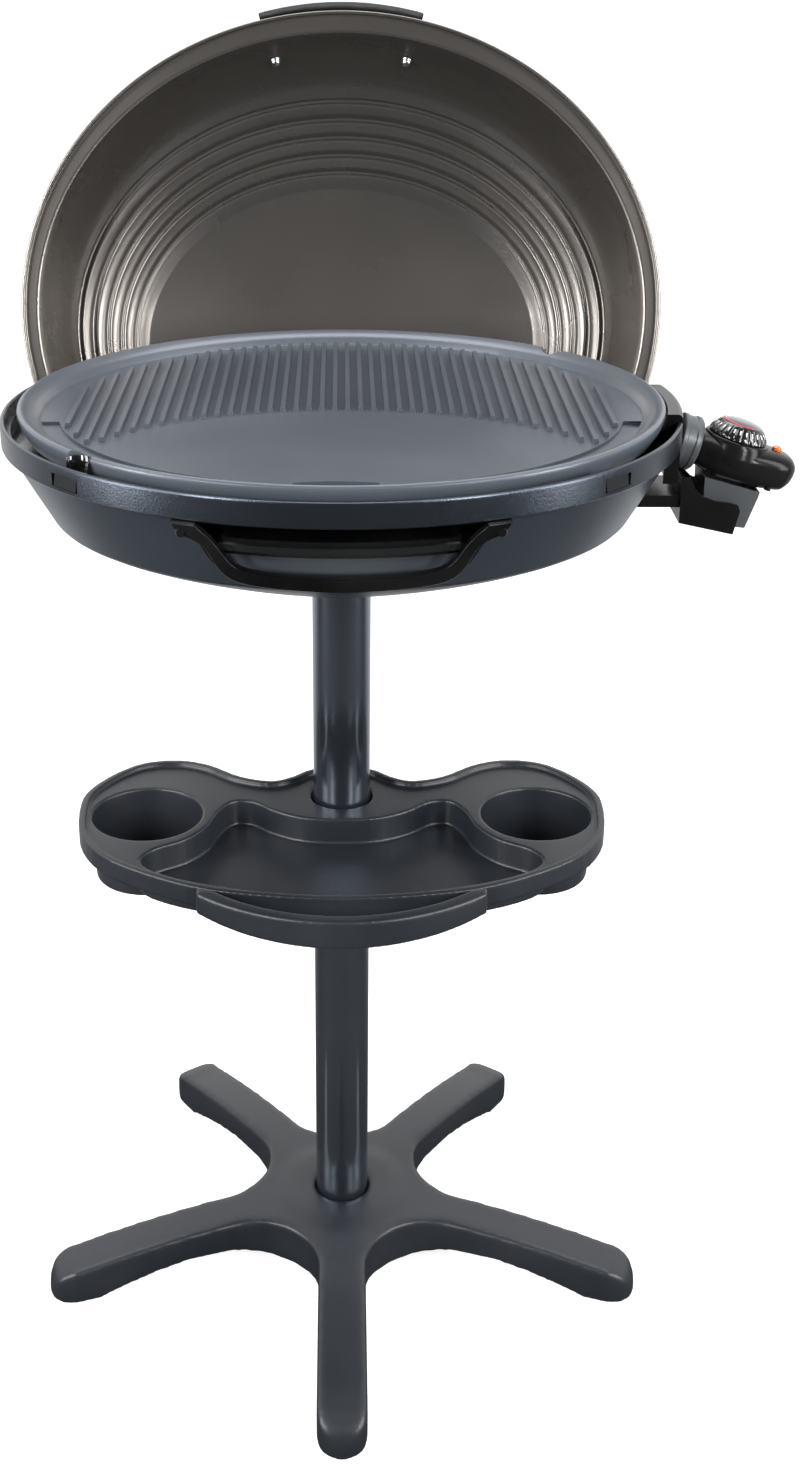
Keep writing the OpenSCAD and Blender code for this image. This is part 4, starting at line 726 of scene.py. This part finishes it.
def maths(nodes, links, operation, a, b):
    node = nodes.new("ShaderNodeMath")
    node.operation = operation
    links.new(a, node.inputs[0])
    links.new(b, node.inputs[1])
    return node.outputs[0]


def range_along_y(nodes, links, vector, span, out):
    """A smooth change between two values over a span of y."""
    axes = nodes.new("ShaderNodeSeparateXYZ")
    links.new(vector, axes.inputs[0])
    node = nodes.new("ShaderNodeMapRange")
    node.interpolation_type = "SMOOTHSTEP"
    node.inputs["From Min"].default_value, node.inputs["From Max"].default_value = span
    node.inputs["To Min"].default_value, node.inputs["To Max"].default_value = out
    links.new(axes.outputs["Y"], node.inputs["Value"])
    return node.outputs["Result"]


def floor_white():
    """White where it is seen; in reflections dark in front of the object and bright behind."""
    mat = bpy.data.materials.new("floor_white")
    mat.use_nodes = True
    nodes, links = mat.node_tree.nodes, mat.node_tree.links
    shader = nodes["Principled BSDF"]
    shader.inputs["Roughness"].default_value = FLOOR_ROUGH
    shader.inputs["Emission Color"].default_value = WHITE
    glossy_ray = nodes.new("ShaderNodeLightPath").outputs["Is Glossy Ray"]
    place = nodes.new("ShaderNodeTexCoord").outputs["Object"]
    behind = range_along_y(nodes, links, place, GLOSS_SPAN, (0.0, FLOOR_GLOW))
    gloss = maths(nodes, links, "MULTIPLY", glossy_ray, behind)
    base = nodes.new("ShaderNodeMix")
    base.data_type = "RGBA"
    base.inputs[MIX_A].default_value = (FLOOR_BASE, FLOOR_BASE, FLOOR_BASE, 1)
    base.inputs[MIX_B].default_value = (FLOOR_GLOSS, FLOOR_GLOSS, FLOOR_GLOSS, 1)
    links.new(glossy_ray, base.inputs[0])
    links.new(base.outputs[MIX_OUT], shader.inputs["Base Color"])
    far = range_along_y(nodes, links, place, FAR_SPAN, (FLOOR_GLOW, 1.0))
    seen = maths(nodes, links, "MULTIPLY", seen_rays(nodes, links), far)
    glow = maths(nodes, links, "MAXIMUM", gloss, seen)
    links.new(glow, shader.inputs["Emission Strength"])
    return mat


def make_floor():
    mesh = bpy.data.meshes.new("floor")
    size = FLOOR_HALF
    mesh.from_pydata([(-size, -size, 0), (size, -size, 0), (size, size, 0), (-size, size, 0)],
                     [], [(0, 1, 2, 3)])
    floor = bpy.data.objects.new("floor", mesh)
    bpy.context.collection.objects.link(floor)
    mesh.materials.append(floor_white())


def make_room():
    """White where it is seen; gloss shows it white behind the object and dark in front."""
    world = bpy.data.worlds.new("world")
    bpy.context.scene.world = world
    world.use_nodes = True
    nodes, links = world.node_tree.nodes, world.node_tree.links
    back = nodes["Background"]
    back.inputs["Color"].default_value = WHITE
    place = nodes.new("ShaderNodeTexCoord")
    room = range_along_y(nodes, links, place.outputs["Generated"], ROOM_SPAN,
                         (ROOM_FRONT, ROOM_BACK))
    path = nodes.new("ShaderNodeLightPath")
    glossy = nodes.new("ShaderNodeMix")
    glossy.inputs["A"].default_value = ROOM_FILL
    links.new(path.outputs["Is Glossy Ray"], glossy.inputs["Factor"])
    links.new(room, glossy.inputs["B"])
    level = nodes.new("ShaderNodeMix")
    level.inputs["B"].default_value = 1.0
    links.new(seen_rays(nodes, links), level.inputs["Factor"])
    links.new(glossy.outputs["Result"], level.inputs["A"])
    links.new(level.outputs["Result"], back.inputs["Strength"])


def make_lights():
    for name, where, target, size, power in LIGHTS:
        data = bpy.data.lights.new(name, "AREA")
        data.shape = "RECTANGLE"
        data.size, data.size_y = size
        data.energy = power
        lamp = bpy.data.objects.new(name, data)
        bpy.context.collection.objects.link(lamp)
        lamp.location = where
        aim = Vector(target) - Vector(where)
        lamp.rotation_euler = aim.to_track_quat("-Z", "Y").to_euler()


make_camera()
dress_cad()
lid_shell()
soften("star_base", ["base_star"], voxel=0.0022, rounds=30, ceiling=HUB_TOP)
soften("tray_moulding", ["storage_tray"], voxel=0.0012, rounds=4, keep=0.25)
deepen(soften("rail_bow", ["tray_rail"], voxel=0.0012, rounds=20))
carry_handle("carry_handle_front", "front_handle", 1)
carry_handle("carry_handle_rear", "rear_handle", -1)
dome_nuts()
soften("lid_grip", ["lid_handle"], voxel=0.0009, rounds=6)
housing()
dial()
bevelled("band_ring", "rim_ring", width=0.0008)
bevelled("plate_casting", "grill_plate", width=0.0007)
lit_recess_panel()
notch_liners()
make_floor()
make_room()
make_lights()

bpy.context.scene.view_settings.view_transform = "Standard"
